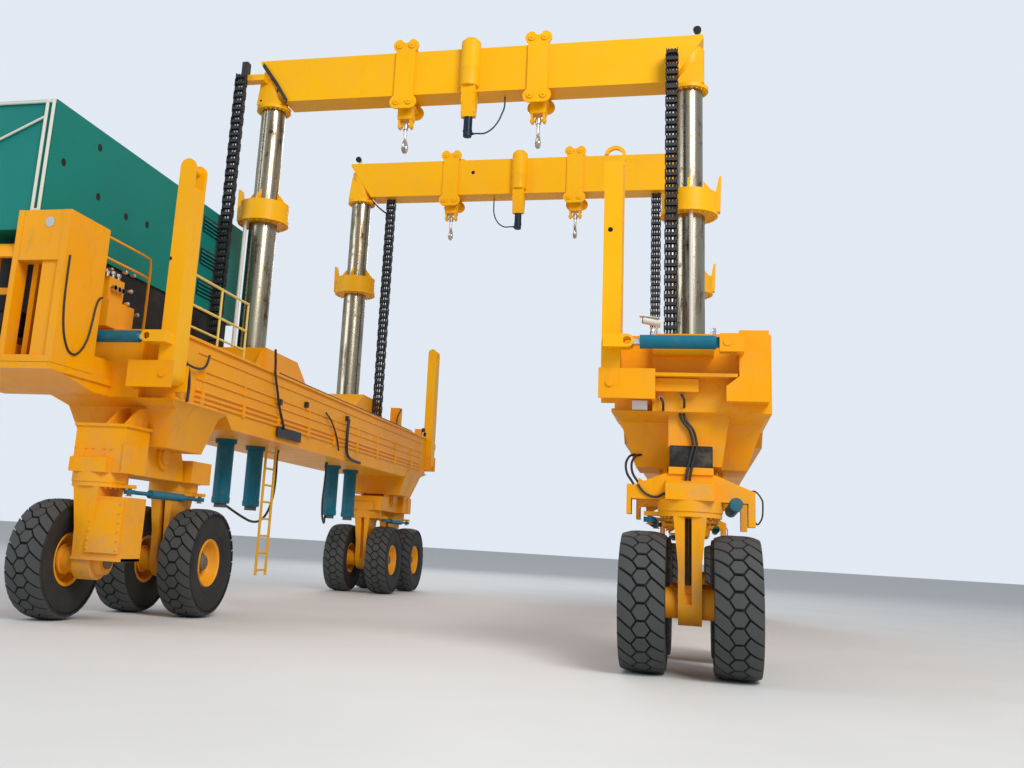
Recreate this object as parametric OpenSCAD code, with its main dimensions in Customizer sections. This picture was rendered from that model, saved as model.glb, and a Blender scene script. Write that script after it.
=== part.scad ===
// Straddle carrier: two box side frames on sixteen tyres, joined by two lifting beams
// that ride on telescopic columns. Millimetres, Z up, X across, -Y is the near end.

/* [Running gear] */
// Outside diameter of a tyre
tyre_od = 1620; // [1560:1:1680]
// Width of one tyre
tyre_w = 530; // [500:1:560]
// Distance between the twin tyres' centres
twin_pitch = 1060; // [1040:1:1100]
// Distance from the middle of the machine to a bogie's centre line
bogie_x = 3970; // [3950:1:4000]
// Distance from the middle of the machine to its outermost axles
axle_y = 7300; // [7250:1:7350]
// Distance between the two axles of a bogie
axle_pitch = 2150; // [2100:1:2250]

/* [Side frames] */
// Distance from the middle to a side frame's inner face
frame_in = 3050; // [3040:1:3060]
// Distance from the middle to a side frame's outer face
frame_out = 4920; // [4900:1:4950]
// Half of a side frame's length
frame_y = 7350; // [7340:1:7360]
// Height of the side frames' underside at their ends
frame_z0 = 3060; // [3050:1:3070]
// Height of the deck
deck_z = 4030; // [4020:1:4040]

/* [Lifting columns] */
// Distance from the middle to a column's axis
col_x = 3920; // [3910:1:3930]
// Distance from the middle to a lifting beam's centre line
col_y = 2840; // [2800:1:2900]
// Radius of a column's lower stage
lower_r = 263; // [255:1:263]
// Radius of a column's upper stage
upper_r = 232; // [225:1:235]
// Height of the top of a column's base box
base_z = 4480; // [4450:1:4500]
// Height of the collars' underside
collar_z = 6980; // [6900:1:7000]

/* [Lifting beams] */
// Height of the beams' underside
beam_z = 9380; // [9350:1:9400]
// Height of a beam's box
beam_h = 866; // [850:1:880]
// Thickness of a beam along the machine
beam_w = 530; // [500:1:560]
// Half of a beam's length
beam_x = 4170; // [4160:1:4200]
// How far the beams come down
lift_travel = 2400; // [2200:50:2400]

/* [Tie arms] */
// Distance from the middle to an arm's pin
arm_x = 3020; // [3010:1:3030]
// Height of the arms' pins
arm_z = 3360; // [3350:1:3380]
// Length of an arm from its pin to its tip
arm_len = 2880; // [2860:1:2880]

/* [Power pack] */
// Distance from the middle to the enclosure's inner side
pack_x0 = 4600; // [4590:1:4620]
// Distance from the middle to the enclosure's outer side
pack_x1 = 6100; // [6000:10:6200]
// Height of the enclosure's floor
pack_z0 = 5150; // [5140:1:5160]
// Height of the enclosure's roof
pack_z1 = 7050; // [7000:10:7100]

/* [Hidden] */
$fn = 48;

yellow = "#f5a800";
teal = "#00756b";
steel = "#b8b8b0";
dark = "#1c1c1e";

LEFT = -1;
RIGHT = 1;
FRONT = -1;
REAR = 1;

axle_z = tyre_od / 2;
bogie_y = axle_y - axle_pitch / 2;
beam_top = beam_z + beam_h;
bay_y0 = 8850;
far_y = axle_y + tyre_od / 2;
// The origin is under the middle of the whole machine's box.
shift_x = (pack_x1 - frame_out) / 2;
shift_y = (bay_y0 - far_y) / 2;

pin_fit = 0.05;
plate = 40;

slew_z = 1860;
slew_r = 380;
leg_top = slew_z - 0.5;
leg_half = 190;
axle_r = 95;
link_x = 470;
link_z = leg_top - 90;

well_z = 2930;
stage_low = 4150;
guide_h = 330;
gap = 5;

arm_w = 230;
arm_d = 400;
arm_y = 7400;
eye_x = 210;
eye_z = 490;
barrel_x = frame_out - 520;
barrel_low = arm_x + 360;
barrel_z = arm_z + eye_z;
pin_r = 50;
rod_r = 45;
cyl_y = arm_y + arm_d / 2;
rod_y = cyl_y + 130;
clevis_len = arm_len + 140;

// A box between two corners.
module span(a, b) {
    translate([min(a[0], b[0]), min(a[1], b[1]), min(a[2], b[2])])
        cube([abs(b[0] - a[0]), abs(b[1] - a[1]), abs(b[2] - a[2])]);
}

// Puts a shape drawn for the right, or for the far end, on the other side.
module to_side(side) {
    mirror([side == LEFT ? 1 : 0, 0, 0]) children();
}
module to_end(end) {
    mirror([0, end == FRONT ? 1 : 0, 0]) children();
}

// A plate drawn in X and Z, t thick along Y and centred on y.
module xz_plate(y, t) {
    translate([0, y + t / 2, 0]) rotate([90, 0, 0]) linear_extrude(t) children();
}

// A plate drawn in Y and Z, t thick along X and centred on x.
module yz_plate(x, t) {
    translate([x - t / 2, 0, 0]) rotate([90, 0, 90]) linear_extrude(t) children();
}

// A round bar along X or Y from a to b, at the other two coordinates.
module bar_x(a, b, y, z, r) {
    translate([min(a, b), y, z]) rotate([0, 90, 0]) cylinder(h = abs(b - a), r = r);
}
module bar_y(a, b, x, z, r) {
    translate([x, min(a, b), z]) rotate([-90, 0, 0]) cylinder(h = abs(b - a), r = r);
}
module bar_z(a, b, x, y, r) {
    translate([x, y, min(a, b)]) cylinder(h = abs(b - a), r = r);
}

// The side frame's side view: deeper between the bogies, with rounded haunches.
haunch_y = 5450;
belly_z = 2860;
module frame_profile() {
    polygon([[-frame_y, frame_z0], [-haunch_y, frame_z0], [-haunch_y + 260, belly_z],
             [haunch_y - 260, belly_z], [haunch_y, frame_z0], [frame_y, frame_z0],
             [frame_y, deck_z], [-frame_y, deck_z]]);
}

// The box on the deck that guides a column's lower stage.
base_len = 1500;
base_half = 640;
module base_box(end) {
    to_end(end) {
        span([col_x - base_half, col_y - 760, deck_z - 1], [col_x + base_half, col_y + 760, base_z]);
        // Its sloping tail, towards the middle of the machine.
        yz_plate(col_x, 2 * base_half)
            polygon([[col_y - 759, base_z], [col_y - 1450, deck_z - 1], [col_y - 759, deck_z - 1]]);
    }
}

// The clevis that carries a tie arm and the bracket that carries its cylinder.
ear_t = 40;
ear_y = arm_d / 2 + gap;
slot_x = frame_in + 470;
module arm_brackets(end) {
    to_end(end) {
        // The arm's ears, the cheek that carries the outer one, and the pin.
        for (y = [arm_y - ear_y - ear_t, arm_y + ear_y])
            span([arm_x - 140, y, arm_z - 190], [slot_x + 1, y + ear_t, arm_z + 180]);
        span([slot_x, frame_y - 1, arm_z - 190], [slot_x + ear_t, arm_y + ear_y + ear_t, arm_z + 180]);
        bar_y(arm_y - ear_y - ear_t - 20, arm_y + ear_y + ear_t + 20, arm_x, arm_z, pin_r);
        // The cylinder's ears on their back plate, and its pin.
        for (y = [rod_y - 85, rod_y + 45])
            span([barrel_x - 90, y, barrel_z - 120], [barrel_x + 190, y + ear_t, barrel_z + 100]);
        span([barrel_x + 110, frame_y - 1, barrel_z - 120], [barrel_x + 190, rod_y + 85, barrel_z + 100]);
        bar_y(rod_y - 95, rod_y + 95, barrel_x, barrel_z, pin_r);
    }
}

// One side frame, drawn for the right.
module side_frame(side) {
    color(yellow) to_side(side) difference() {
        union() {
            yz_plate((frame_in + frame_out) / 2, frame_out - frame_in) frame_profile();
            for (end = [FRONT, REAR]) base_box(end);
            // The ledge under the arm's cylinder.
            if (side == RIGHT) for (end = [FRONT, REAR])
                to_end(end) span([slot_x - 40, frame_y - 1, 3460], [frame_out - 400, frame_y + 250, 3500]);
            // Flanges along the top and bottom edges.
            for (z = [deck_z - plate, frame_z0])
                span([frame_in - 40, -frame_y, z], [frame_in + 1, -frame_y + 1500, z + plate]);
        }
        // Each tie arm swings through a slot in the frame's end.
        for (end = [FRONT, REAR]) {
            to_end(end) {
                span([frame_in - 100, arm_y - ear_y, belly_z - 300], [slot_x, frame_y + 1, deck_z + 10]);
                bar_z(well_z, base_z + 1, col_x, col_y, lower_r + 8);
                rods(side) bar_z(rod_low, base_z + 61, 0, 0, meter_r + 8);
            }
        }
    }
    color(yellow) to_side(side) for (end = [FRONT, REAR]) arm_brackets(end);
    // The guide ring at the top of each base box fits the lower stage.
    color(yellow) to_side(side) for (end = [FRONT, REAR]) to_end(end) difference() {
        bar_z(base_z - 1, base_z + 60, col_x, col_y, lower_r + 25);
        bar_z(base_z - 2, base_z + 61, col_x, col_y, lower_r + pin_fit);
    }
}

// The measuring rod beside a column: its offset from the column's axis, for each side.
METERS = [[-40, 340], [230, 290]];
meter_r = 35;
rod_low = base_z + 60 - lift_travel / 2 - 60;
module rods(side) {
    m = METERS[side == LEFT ? 1 : 0];
    translate([col_x + (side == LEFT ? m[0] : -m[0]), col_y + m[1], 0]) children();
}

// A tapered leg, the equaliser beam with its half-round plates and the slewing rings.
leg_z = 2420;
module tapered_leg() {
    intersection() {
        xz_plate(bogie_y, 2400)
            polygon([[-950 + bogie_x, frame_z0], [950 + bogie_x, frame_z0],
                     [860 + bogie_x, 2960], [675 + bogie_x, leg_z], [-675 + bogie_x, leg_z],
                     [-860 + bogie_x, 2960]]);
        yz_plate(bogie_x, 2400)
            polygon([[bogie_y - 750, frame_z0], [bogie_y + 1100, frame_z0],
                     [bogie_y + 760, 2960], [bogie_y + 560, leg_z], [bogie_y - 560, leg_z],
                     [bogie_y - 640, 2960]]);
    }
}
plate_r = 720;
module equaliser() {
    yz_plate(bogie_x, 560)
        polygon([[bogie_y - axle_pitch / 2 - 380, 1990], [bogie_y + axle_pitch / 2 + 380, 1990],
                 [bogie_y + axle_pitch / 2 + 380, 2180], [bogie_y + axle_pitch / 2 - 300, 2330],
                 [bogie_y + 300, 2440], [bogie_y - 300, 2440],
                 [bogie_y - axle_pitch / 2 + 300, 2330], [bogie_y - axle_pitch / 2 - 380, 2180]]);
    for (x = [-305, 305])
        yz_plate(bogie_x + x, 50) intersection() {
            translate([bogie_y, 2000]) circle(r = plate_r, $fn = 96);
            translate([bogie_y - plate_r, 2000]) square([2 * plate_r, plate_r]);
        }
    bar_x(bogie_x - 400, bogie_x + 400, bogie_y, 2330, 120);
    for (u = [-1, 1]) {
        // The wings that carry the steering cylinders, and the slewing ring.
        xz_plate(bogie_y + u * axle_pitch / 2, 300)
            polygon([[bogie_x - 300, 2300], [bogie_x + 300, 2300], [bogie_x + 740, 2120],
                     [bogie_x + 740, 1990], [bogie_x - 740, 1990], [bogie_x - 740, 2120]]);
        bar_z(slew_z, 2000, bogie_x, bogie_y + u * axle_pitch / 2, slew_r);
    }
}
module bogie_frames() {
    color(yellow) for (side = [LEFT, RIGHT], end = [FRONT, REAR])
        to_side(side) to_end(end) {
            tapered_leg();
            equaliser();
        }
}

// Two lift cylinders hang under every column, one ahead of it and one behind.
module lift_cylinders() {
    color(teal) for (side = [LEFT, RIGHT], end = [FRONT, REAR], dy = [-650, 650])
        to_side(side) to_end(end) {
            bar_z(1760, belly_z, col_x, col_y + dy, 150);
            bar_z(1690, 1760, col_x, col_y + dy, 110);
        }
}

// The closed enclosure of the power pack, a shell with louvres in its inner side.
pack_y0 = -8600;
pack_y1 = -2250;
wall = 40;
module power_pack() {
    color(teal) difference() {
        span([-pack_x1, pack_y0, pack_z0], [-pack_x0, pack_y1, pack_z1]);
        span([-pack_x1 + wall, pack_y0 + wall, pack_z0 + wall],
             [-pack_x0 - wall, pack_y1 - wall, pack_z1 - wall]);
    }
}
module engine_block() {
    color(dark)
        span([-pack_x1 + 300, pack_y0 + 1800, pack_z0 + wall], [-pack_x0 - 350, pack_y1 - 2450, pack_z0 + 1150]);
}

// The tank under the enclosure and the outriggers that hold it to the side frame.
module tank_base() {
    color(dark) {
        span([-pack_x1 + 150, pack_y0 + 750, deck_z], [-pack_x0 - 40, pack_y1 - 250, pack_z0]);
        for (y = [pack_y0 + 2000, pack_y0 + 3700, pack_y1 - 650])
            xz_plate(y, 120)
                polygon([[-frame_out, deck_z - 580], [-pack_x1 + 200, deck_z], [-frame_out, deck_z]]);
    }
}

// The pump bay on its floor at the near end of the left side frame.
module pump_bay() {
    color(yellow) {
        span([-5700, -bay_y0, 3200], [-3950, -frame_y, 3290]);
        // The tall box, open at the front below its lamp.
        difference() {
            span([-4720, -bay_y0, 3289], [-3950, -7880, pack_z0]);
            span([-4640, -bay_y0 - 1, 3400], [-4060, -8100, 4650]);
        }
        span([-4720, -7881, 3289], [-4000, -frame_y, 3550]);
        span([-5650, -8500, 3289], [-5450, -8300, pack_z0]);
        span([-5650, -7700, 3289], [-5450, -7500, deck_z]);
        span([-5400, -8600, 3289], [-4850, -7700, 3950]);
    }
}

// Handrails on the deck and the ladder under the left side frame.
rail_h = 950;
rail_r = 20;
module walkways() {
    color(yellow) {
        for (y = [-6900, -5900, -4900])
            bar_z(deck_z, deck_z + rail_h, -frame_in - 60, y, rail_r);
        for (z = [deck_z + 480, deck_z + rail_h - 20])
            bar_y(-6900, -4900, -frame_in - 60, z, rail_r);
        for (y = [-2550, -2100])
            bar_z(560, belly_z, -frame_in - 500, y, 25);
        for (z = [650:300:2750])
            bar_y(-2550, -2100, -frame_in - 500, z, 18);
    }
}

// The camera on the right side frame's near end, on a short post.
module cameras() {
    color("#f0f0ee") {
        bar_z(deck_z, deck_z + 90, slot_x + 60, -frame_y + 120, 25);
        span([slot_x - 160, -frame_y - 40, deck_z + 89], [slot_x + 90, -frame_y + 260, deck_z + 250]);
    }
}

// A lifting beam with its column flanges, gussets and the pod at its middle.
pod_r = 225;
module beam(end) {
    color(yellow) to_end(end) {
        xz_plate(col_y, beam_w)
            polygon([[-beam_x, beam_top], [beam_x, beam_top], [beam_x, beam_top - 60],
                     [beam_x - 560, beam_z], [-beam_x + 560, beam_z], [-beam_x, beam_top - 60]]);
        for (x = [-col_x, col_x]) {
            bar_z(beam_z - 110, beam_z - 40, x, col_y, 330);
            intersection() {
                bar_z(beam_z - 41, beam_top, x, col_y, upper_r + 30);
                span([x - 400, col_y - beam_w / 2, beam_z - 41], [x + 400, col_y + beam_w / 2, beam_top]);
            }
            for (y = [col_y - beam_w / 2 + 20, col_y + beam_w / 2 - 20])
                xz_plate(y, plate)
                    polygon([[x - 260, beam_z - 41], [x + 260, beam_z - 41],
                             [x + sign(x) * 200, beam_z + 520]]);
        }
    }
    pod(end * col_y - beam_w / 2);
    // The brackets that carry the heads of the front drag chains, x0 and x1 of each.
    if (end == FRONT) color(yellow) for (b = [[-4520, -3990], [3550, 3730]])
        span([b[0], chain_y + chain_t / 2, chain_head - 120], [b[1], -col_y - beam_w / 2 + 1, chain_head]);
}
// The pod on a beam's near face, the slanted box under it and its drum.
module pod(y) {
    color(yellow) {
        intersection() {
            bar_z(beam_z + 70, beam_top + 190, 25, y, pod_r);
            span([-300, y - 700, beam_z], [300, y + 1, beam_top + 200]);
        }
        yz_plate(25, 300) polygon([[y + 200, beam_z + 1], [y - 150, beam_z + 150], [y - 150, beam_z + 1],
                                   [y - 60, beam_z - 500], [y + 60, beam_z - 500]]);
        bar_z(beam_z - 820, beam_z - 499, 25, y, 80);
    }
}

// The upper stages hang from the beam into the lower ones.
module upper_stages(end) {
    color(steel) to_end(end) for (x = [-col_x, col_x])
        bar_z(collar_z - 650, beam_z - 110, x, col_y, upper_r);
}

// A lower stage is a tube; the measuring rod beside it hangs from the collar.
module lower_stages(end) {
    color(steel) to_end(end) for (side = [LEFT, RIGHT]) to_side(side) {
        difference() {
            bar_z(stage_low, collar_z, col_x, col_y, lower_r);
            bar_z(stage_low - 1, collar_z + 2, col_x, col_y, upper_r + 8);
        }
        rods(side) bar_z(base_z + 60, collar_z, 0, 0, meter_r);
    }
}

// The collar at the top of a lower stage, with its gussets.
collar_r = 480;
module collars(end) {
    color(yellow) to_end(end) for (x = [-col_x, col_x]) {
        difference() {
            union() {
                bar_z(collar_z, collar_z + 70, x, col_y, collar_r);
                bar_z(collar_z + 69, collar_z + 400, x, col_y, collar_r - 20);
                for (a = [0:90:270])
                    translate([x, col_y, 0]) rotate([0, 0, a]) xz_plate(0, plate)
                        polygon([[upper_r + 10, collar_z + 399], [collar_r - 40, collar_z + 399],
                                 [upper_r + 10, collar_z + 640]]);
            }
            bar_z(collar_z - 1, collar_z + 641, x, col_y, upper_r + pin_fit);
        }
    }
}

// The drag chains, one per column: x and y of the middle, foot and head heights.
chain_w = 220;
chain_t = 110;
chain_y = -col_y - 520;
chain_head = beam_z + 500;
CHAINS_FRONT = [[-4430, chain_y, base_z, chain_head], [3640, chain_y, base_z, chain_head]];
CHAINS_REAR = [[-3160, col_y, deck_z, beam_z], [3160, col_y, deck_z, beam_z]];
module drag_chains(list) {
    color(dark) for (c = list)
        span([c[0] - chain_w / 2, c[1] - chain_t / 2, c[2]], [c[0] + chain_w / 2, c[1] + chain_t / 2, c[3]]);
}

// The lift hooks: a saddle of plates round the beam with a steel hook below. x of each.
HOOKS_FRONT = [-1230, 1270];
HOOKS_REAR = [-1640, 1320];
shoe_t = 45;
module hook_outline() {
    difference() {
        union() {
            translate([0, -150]) circle(r = 175);
            translate([-70, -160]) square([140, 420]);
        }
        translate([25, -140]) circle(r = 85);
        translate([60, -70]) rotate(-35) square([260, 90]);
    }
}
module slot_shape(x, z, half, r) {
    for (dx = [-half, half]) translate([x + dx, z]) circle(r = r);
    translate([x - half, z - r]) square([2 * half, 2 * r]);
}
module hook_sets(end, list) {
    color(yellow) to_end(end) for (x = list) {
        for (y = [col_y - beam_w / 2 - shoe_t / 2, col_y + beam_w / 2 + shoe_t / 2])
            xz_plate(y, shoe_t) {
                translate([x - 210, beam_z - 100]) square([420, beam_h + 200]);
                slot_shape(x, beam_top + 130, 150, 130);
                slot_shape(x, beam_z - 170, 120, 150);
            }
        for (dx = [-180, 180])
            bar_y(col_y - beam_w / 2 - shoe_t, col_y + beam_w / 2 + shoe_t, x + dx, beam_top + 70, 60);
        bar_y(col_y - beam_w / 2 - shoe_t, col_y + beam_w / 2 + shoe_t, x, beam_z - 180, 70);
        translate([x, 0, beam_z - 700]) xz_plate(col_y, 120) hook_outline();
        span([x - 90, col_y - 110, beam_z - 480], [x + 90, col_y + 110, beam_z - 100]);
    }
}

// A steered leg: the slewing flange, the leg between the tyres and the axle housing.
module steer_leg(side, end, u) {
    y = bogie_y + u * axle_pitch / 2;
    color(yellow) to_side(side) to_end(end) difference() {
        union() {
            bar_z(leg_top - 60, leg_top, bogie_x, y, slew_r - 10);
            intersection() {
                yz_plate(bogie_x, 2 * leg_half) union() {
                    polygon([[y - 340, leg_top - 59], [y + 340, leg_top - 59],
                             [y + 250, axle_z], [y - 250, axle_z]]);
                    translate([y, axle_z]) circle(r = 250);
                }
                span([bogie_x - leg_half, y - 400, axle_z - 300], [bogie_x + leg_half, y + 400, leg_top]);
            }
            bar_x(bogie_x - 255, bogie_x + 255, y, axle_z, 190);
            // The arm that the steering link turns.
            span([bogie_x - link_x - 70, y - 60, leg_top - 59], [bogie_x - 100, y + 60, leg_top - 10]);
            bar_z(link_z - 60, leg_top - 11, bogie_x - link_x, y, 30);
        }
        bar_x(bogie_x - 300, bogie_x + 300, y, axle_z, axle_r + pin_fit);
    }
}

// Twin tyres, their rims and the axle that turns with them.
hub_end = 330;
module wheels(side, end, u) {
    y = bogie_y + u * axle_pitch / 2;
    bare = side == LEFT && end == FRONT && u == 1;
    twins = bare ? [1] : [-1, 1];
    to_side(side) to_end(end) translate([bogie_x, y, axle_z]) rotate([0, 90, 0]) {
        color(dark) for (x = twins) translate([0, 0, x * twin_pitch / 2]) tyre();
        color(yellow) for (x = twins) mirror([0, 0, x < 0 ? 1 : 0])
            translate([0, 0, twin_pitch / 2]) rim();
        // The axle, and the bare hub where the photo shows no tyre.
        color(steel) translate([0, 0, bare ? -hub_end : -twin_pitch / 2])
            cylinder(h = twin_pitch / 2 + (bare ? hub_end : twin_pitch / 2), r = axle_r);
        color(yellow) if (bare) translate([0, 0, -hub_end]) cylinder(h = 60, r = 200);
    }
}
rim_r = 330;
module tyre() {
    r = tyre_od / 2;
    w = tyre_w / 2;
    rotate_extrude($fn = 64) polygon([
        [rim_r, -w + 70], [rim_r + 60, -w + 20], [r - 260, -w], [r - 90, -w + 20], [r - 15, -w + 60],
        [r, -w + 120], [r, w - 120], [r - 15, w - 60], [r - 90, w - 20], [r - 260, w],
        [rim_r + 60, w - 20], [rim_r, w - 70]]);
}
module rim() {
    rotate_extrude() polygon([
        [axle_r - 1, -20], [200, -20], [200, 40], [300, 60], [rim_r + 1, tyre_w / 2 - 60],
        [rim_r + 1, -tyre_w / 2 + 80], [310, -tyre_w / 2 + 80], [250, -60], [axle_r - 1, -60]]);
}

// The steering link between the two legs of a bogie, on its inner side.
module steer_link(side, end) {
    color(teal) to_side(side) to_end(end) {
        for (u = [-1, 1]) difference() {
            bar_z(link_z - 45, link_z + 15, bogie_x - link_x, bogie_y + u * axle_pitch / 2, 75);
            bar_z(link_z - 80, link_z + 20, bogie_x - link_x, bogie_y + u * axle_pitch / 2, 30 + pin_fit);
        }
        bar_y(bogie_y - axle_pitch / 2 + 70, bogie_y + axle_pitch / 2 - 70, bogie_x - link_x, link_z - 15, 28);
        bar_y(bogie_y - 500, bogie_y + 500, bogie_x - link_x, link_z - 15, 60);
    }
}

// A tie arm. The right ones end in a hook, the left ones in a clevis with a pin.
hook_t = 60;
module arm_body(top) {
    translate([0, arm_y, 0]) {
        difference() {
            union() {
                span([arm_x - arm_w / 2, -arm_d / 2, arm_z], [arm_x + arm_w / 2, arm_d / 2, arm_z + top]);
                bar_y(-arm_d / 2, arm_d / 2, arm_x, arm_z, arm_w / 2);
            }
            bar_y(-arm_d, arm_d, arm_x, arm_z, pin_r + pin_fit);
        }
    }
}
// The two ears that hold the cylinder's rod stand out from the arm's face on a block.
eye_r = 80;
module arm_ears() {
    for (y = [[cyl_y - 1, rod_y - 55], [rod_y + 55, rod_y + 100]]) difference() {
        union() {
            bar_y(y[0], y[1], arm_x + eye_x, arm_z + eye_z, eye_r);
            span([arm_x - 80, y[0], arm_z + eye_z - eye_r], [arm_x + eye_x, y[1], arm_z + eye_z + eye_r]);
        }
        bar_y(y[0] - 1, y[1] + 1, arm_x + eye_x, arm_z + eye_z, pin_r + pin_fit);
    }
    span([arm_x - 80, cyl_y - 1, arm_z + eye_z - eye_r], [arm_x + 30, rod_y + 100, arm_z + eye_z + eye_r]);
}
module tie_arm(side, end) {
    color(yellow) to_side(side) to_end(end) {
        arm_body(side == RIGHT ? arm_len - 300 : clevis_len - 300);
        arm_ears();
        if (side == RIGHT) arm_hook(); else arm_clevis();
    }
}
hook_r = 95;
module arm_hook() {
    z = arm_z + arm_len;
    eye = arm_z + clevis_len;
    span([arm_x - arm_w / 2, arm_y - arm_d / 2, z - 301], [arm_x + arm_w / 2, arm_y + arm_d / 2, z]);
    xz_plate(arm_y, hook_t) difference() {
        union() {
            translate([arm_x + 35, z - 1]) square([85, eye - z + 1]);
            translate([arm_x, eye]) circle(r = hook_r + 45);
        }
        translate([arm_x, eye]) circle(r = hook_r);
        // The throat opens towards the machine's middle and down.
        translate([arm_x - 200, eye - 200]) square([235, 225]);
    }
}
module arm_clevis() {
    z = arm_z + clevis_len;
    for (y = [arm_y - arm_d / 2 + 30, arm_y + arm_d / 2 - 30]) xz_plate(y, 60) {
        translate([arm_x - arm_w / 2, z - 301]) square([arm_w, 301]);
        translate([arm_x, z]) circle(r = arm_w / 2);
    }
    bar_y(arm_y - arm_d / 2, arm_y + arm_d / 2, arm_x, z, 50);
}

// The cylinder that swings a tie arm: its barrel is pinned to the frame's end.
module arm_cylinder(side, end) {
    y = rod_y;
    color(teal) to_side(side) to_end(end) {
        difference() {
            union() {
                bar_y(y - 40, y + 40, barrel_x, barrel_z, 85);
                bar_x(barrel_low, barrel_x - 130, y, barrel_z, 85);
                span([barrel_x - 131, y - 40, barrel_z - 60], [barrel_x, y + 40, barrel_z + 60]);
            }
            bar_x(barrel_low - 1, barrel_x - 160, y, barrel_z, rod_r + pin_fit);
            bar_y(y - 41, y + 41, barrel_x, barrel_z, pin_r + pin_fit);
        }
    }
}
module arm_rod(side, end) {
    y = rod_y;
    color(steel) to_side(side) to_end(end) {
        difference() {
            union() {
                bar_y(y - 40, y + 40, arm_x + eye_x, arm_z + eye_z, 75);
                bar_x(arm_x + eye_x + 60, barrel_x - 200, y, barrel_z, rod_r);
            }
            bar_y(y - 41, y + 41, arm_x + eye_x, arm_z + eye_z, pin_r + pin_fit);
        }
    }
}

// Moves a piece from the machine's middle to the origin of the whole box.
module placed() {
    translate([shift_x, shift_y, 0]) children();
}

placed() side_frame(LEFT);  // side_frame_left
placed() side_frame(RIGHT);  // side_frame_right
placed() bogie_frames();
placed() lift_cylinders();
placed() power_pack();
placed() tank_base();
placed() engine_block();
placed() pump_bay();
placed() walkways();
placed() cameras();
placed() beam(FRONT);  // beam_front
placed() beam(REAR);  // beam_rear
placed() upper_stages(FRONT);  // upper_stages_front
placed() upper_stages(REAR);  // upper_stages_rear
placed() hook_sets(FRONT, HOOKS_FRONT);  // hook_sets_front
placed() hook_sets(REAR, HOOKS_REAR);  // hook_sets_rear
placed() lower_stages(FRONT);  // lower_stages_front
placed() lower_stages(REAR);  // lower_stages_rear
placed() collars(FRONT);  // collars_front
placed() collars(REAR);  // collars_rear
placed() drag_chains(CHAINS_FRONT);  // drag_chains_front
placed() drag_chains(CHAINS_REAR);  // drag_chains_rear
placed() steer_leg(LEFT, FRONT, 1);  // steer_leg_fl_a
placed() steer_leg(LEFT, FRONT, -1);  // steer_leg_fl_b
placed() steer_leg(RIGHT, FRONT, 1);  // steer_leg_fr_a
placed() steer_leg(RIGHT, FRONT, -1);  // steer_leg_fr_b
placed() steer_leg(LEFT, REAR, 1);  // steer_leg_rl_a
placed() steer_leg(LEFT, REAR, -1);  // steer_leg_rl_b
placed() steer_leg(RIGHT, REAR, 1);  // steer_leg_rr_a
placed() steer_leg(RIGHT, REAR, -1);  // steer_leg_rr_b
placed() wheels(LEFT, FRONT, 1);  // wheels_fl_a
placed() wheels(LEFT, FRONT, -1);  // wheels_fl_b
placed() wheels(RIGHT, FRONT, 1);  // wheels_fr_a
placed() wheels(RIGHT, FRONT, -1);  // wheels_fr_b
placed() wheels(LEFT, REAR, 1);  // wheels_rl_a
placed() wheels(LEFT, REAR, -1);  // wheels_rl_b
placed() wheels(RIGHT, REAR, 1);  // wheels_rr_a
placed() wheels(RIGHT, REAR, -1);  // wheels_rr_b
placed() steer_link(LEFT, FRONT);  // steer_link_fl
placed() steer_link(RIGHT, FRONT);  // steer_link_fr
placed() steer_link(LEFT, REAR);  // steer_link_rl
placed() steer_link(RIGHT, REAR);  // steer_link_rr
placed() tie_arm(LEFT, FRONT);  // tie_arm_fl
placed() tie_arm(RIGHT, FRONT);  // tie_arm_fr
placed() tie_arm(LEFT, REAR);  // tie_arm_rl
placed() tie_arm(RIGHT, REAR);  // tie_arm_rr
placed() arm_cylinder(LEFT, FRONT);  // arm_cylinder_fl
placed() arm_cylinder(RIGHT, FRONT);  // arm_cylinder_fr
placed() arm_cylinder(LEFT, REAR);  // arm_cylinder_rl
placed() arm_cylinder(RIGHT, REAR);  // arm_cylinder_rr
placed() arm_rod(LEFT, FRONT);  // arm_rod_fl
placed() arm_rod(RIGHT, FRONT);  // arm_rod_fr
placed() arm_rod(LEFT, REAR);  // arm_rod_rl
placed() arm_rod(RIGHT, REAR);  // arm_rod_rr
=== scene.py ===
# %% [markdown]
# # A straddle carrier, dressed in Blender
#
# The machine is two box girders on eight steered axles, joined by two lifting beams that ride
# on telescopic columns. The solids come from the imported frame. This lesson adds what a maker's
# eye looks for next: tread, rims, chain links, bolts, hoses, and finishes with wear in them.
# Everything is placed in metres in the frame's own coordinates: X across, Y along, Z up.

# %% Load the frame
import bmesh
import bpy
import math
import numpy as np
from mathutils import Matrix, Vector


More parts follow.
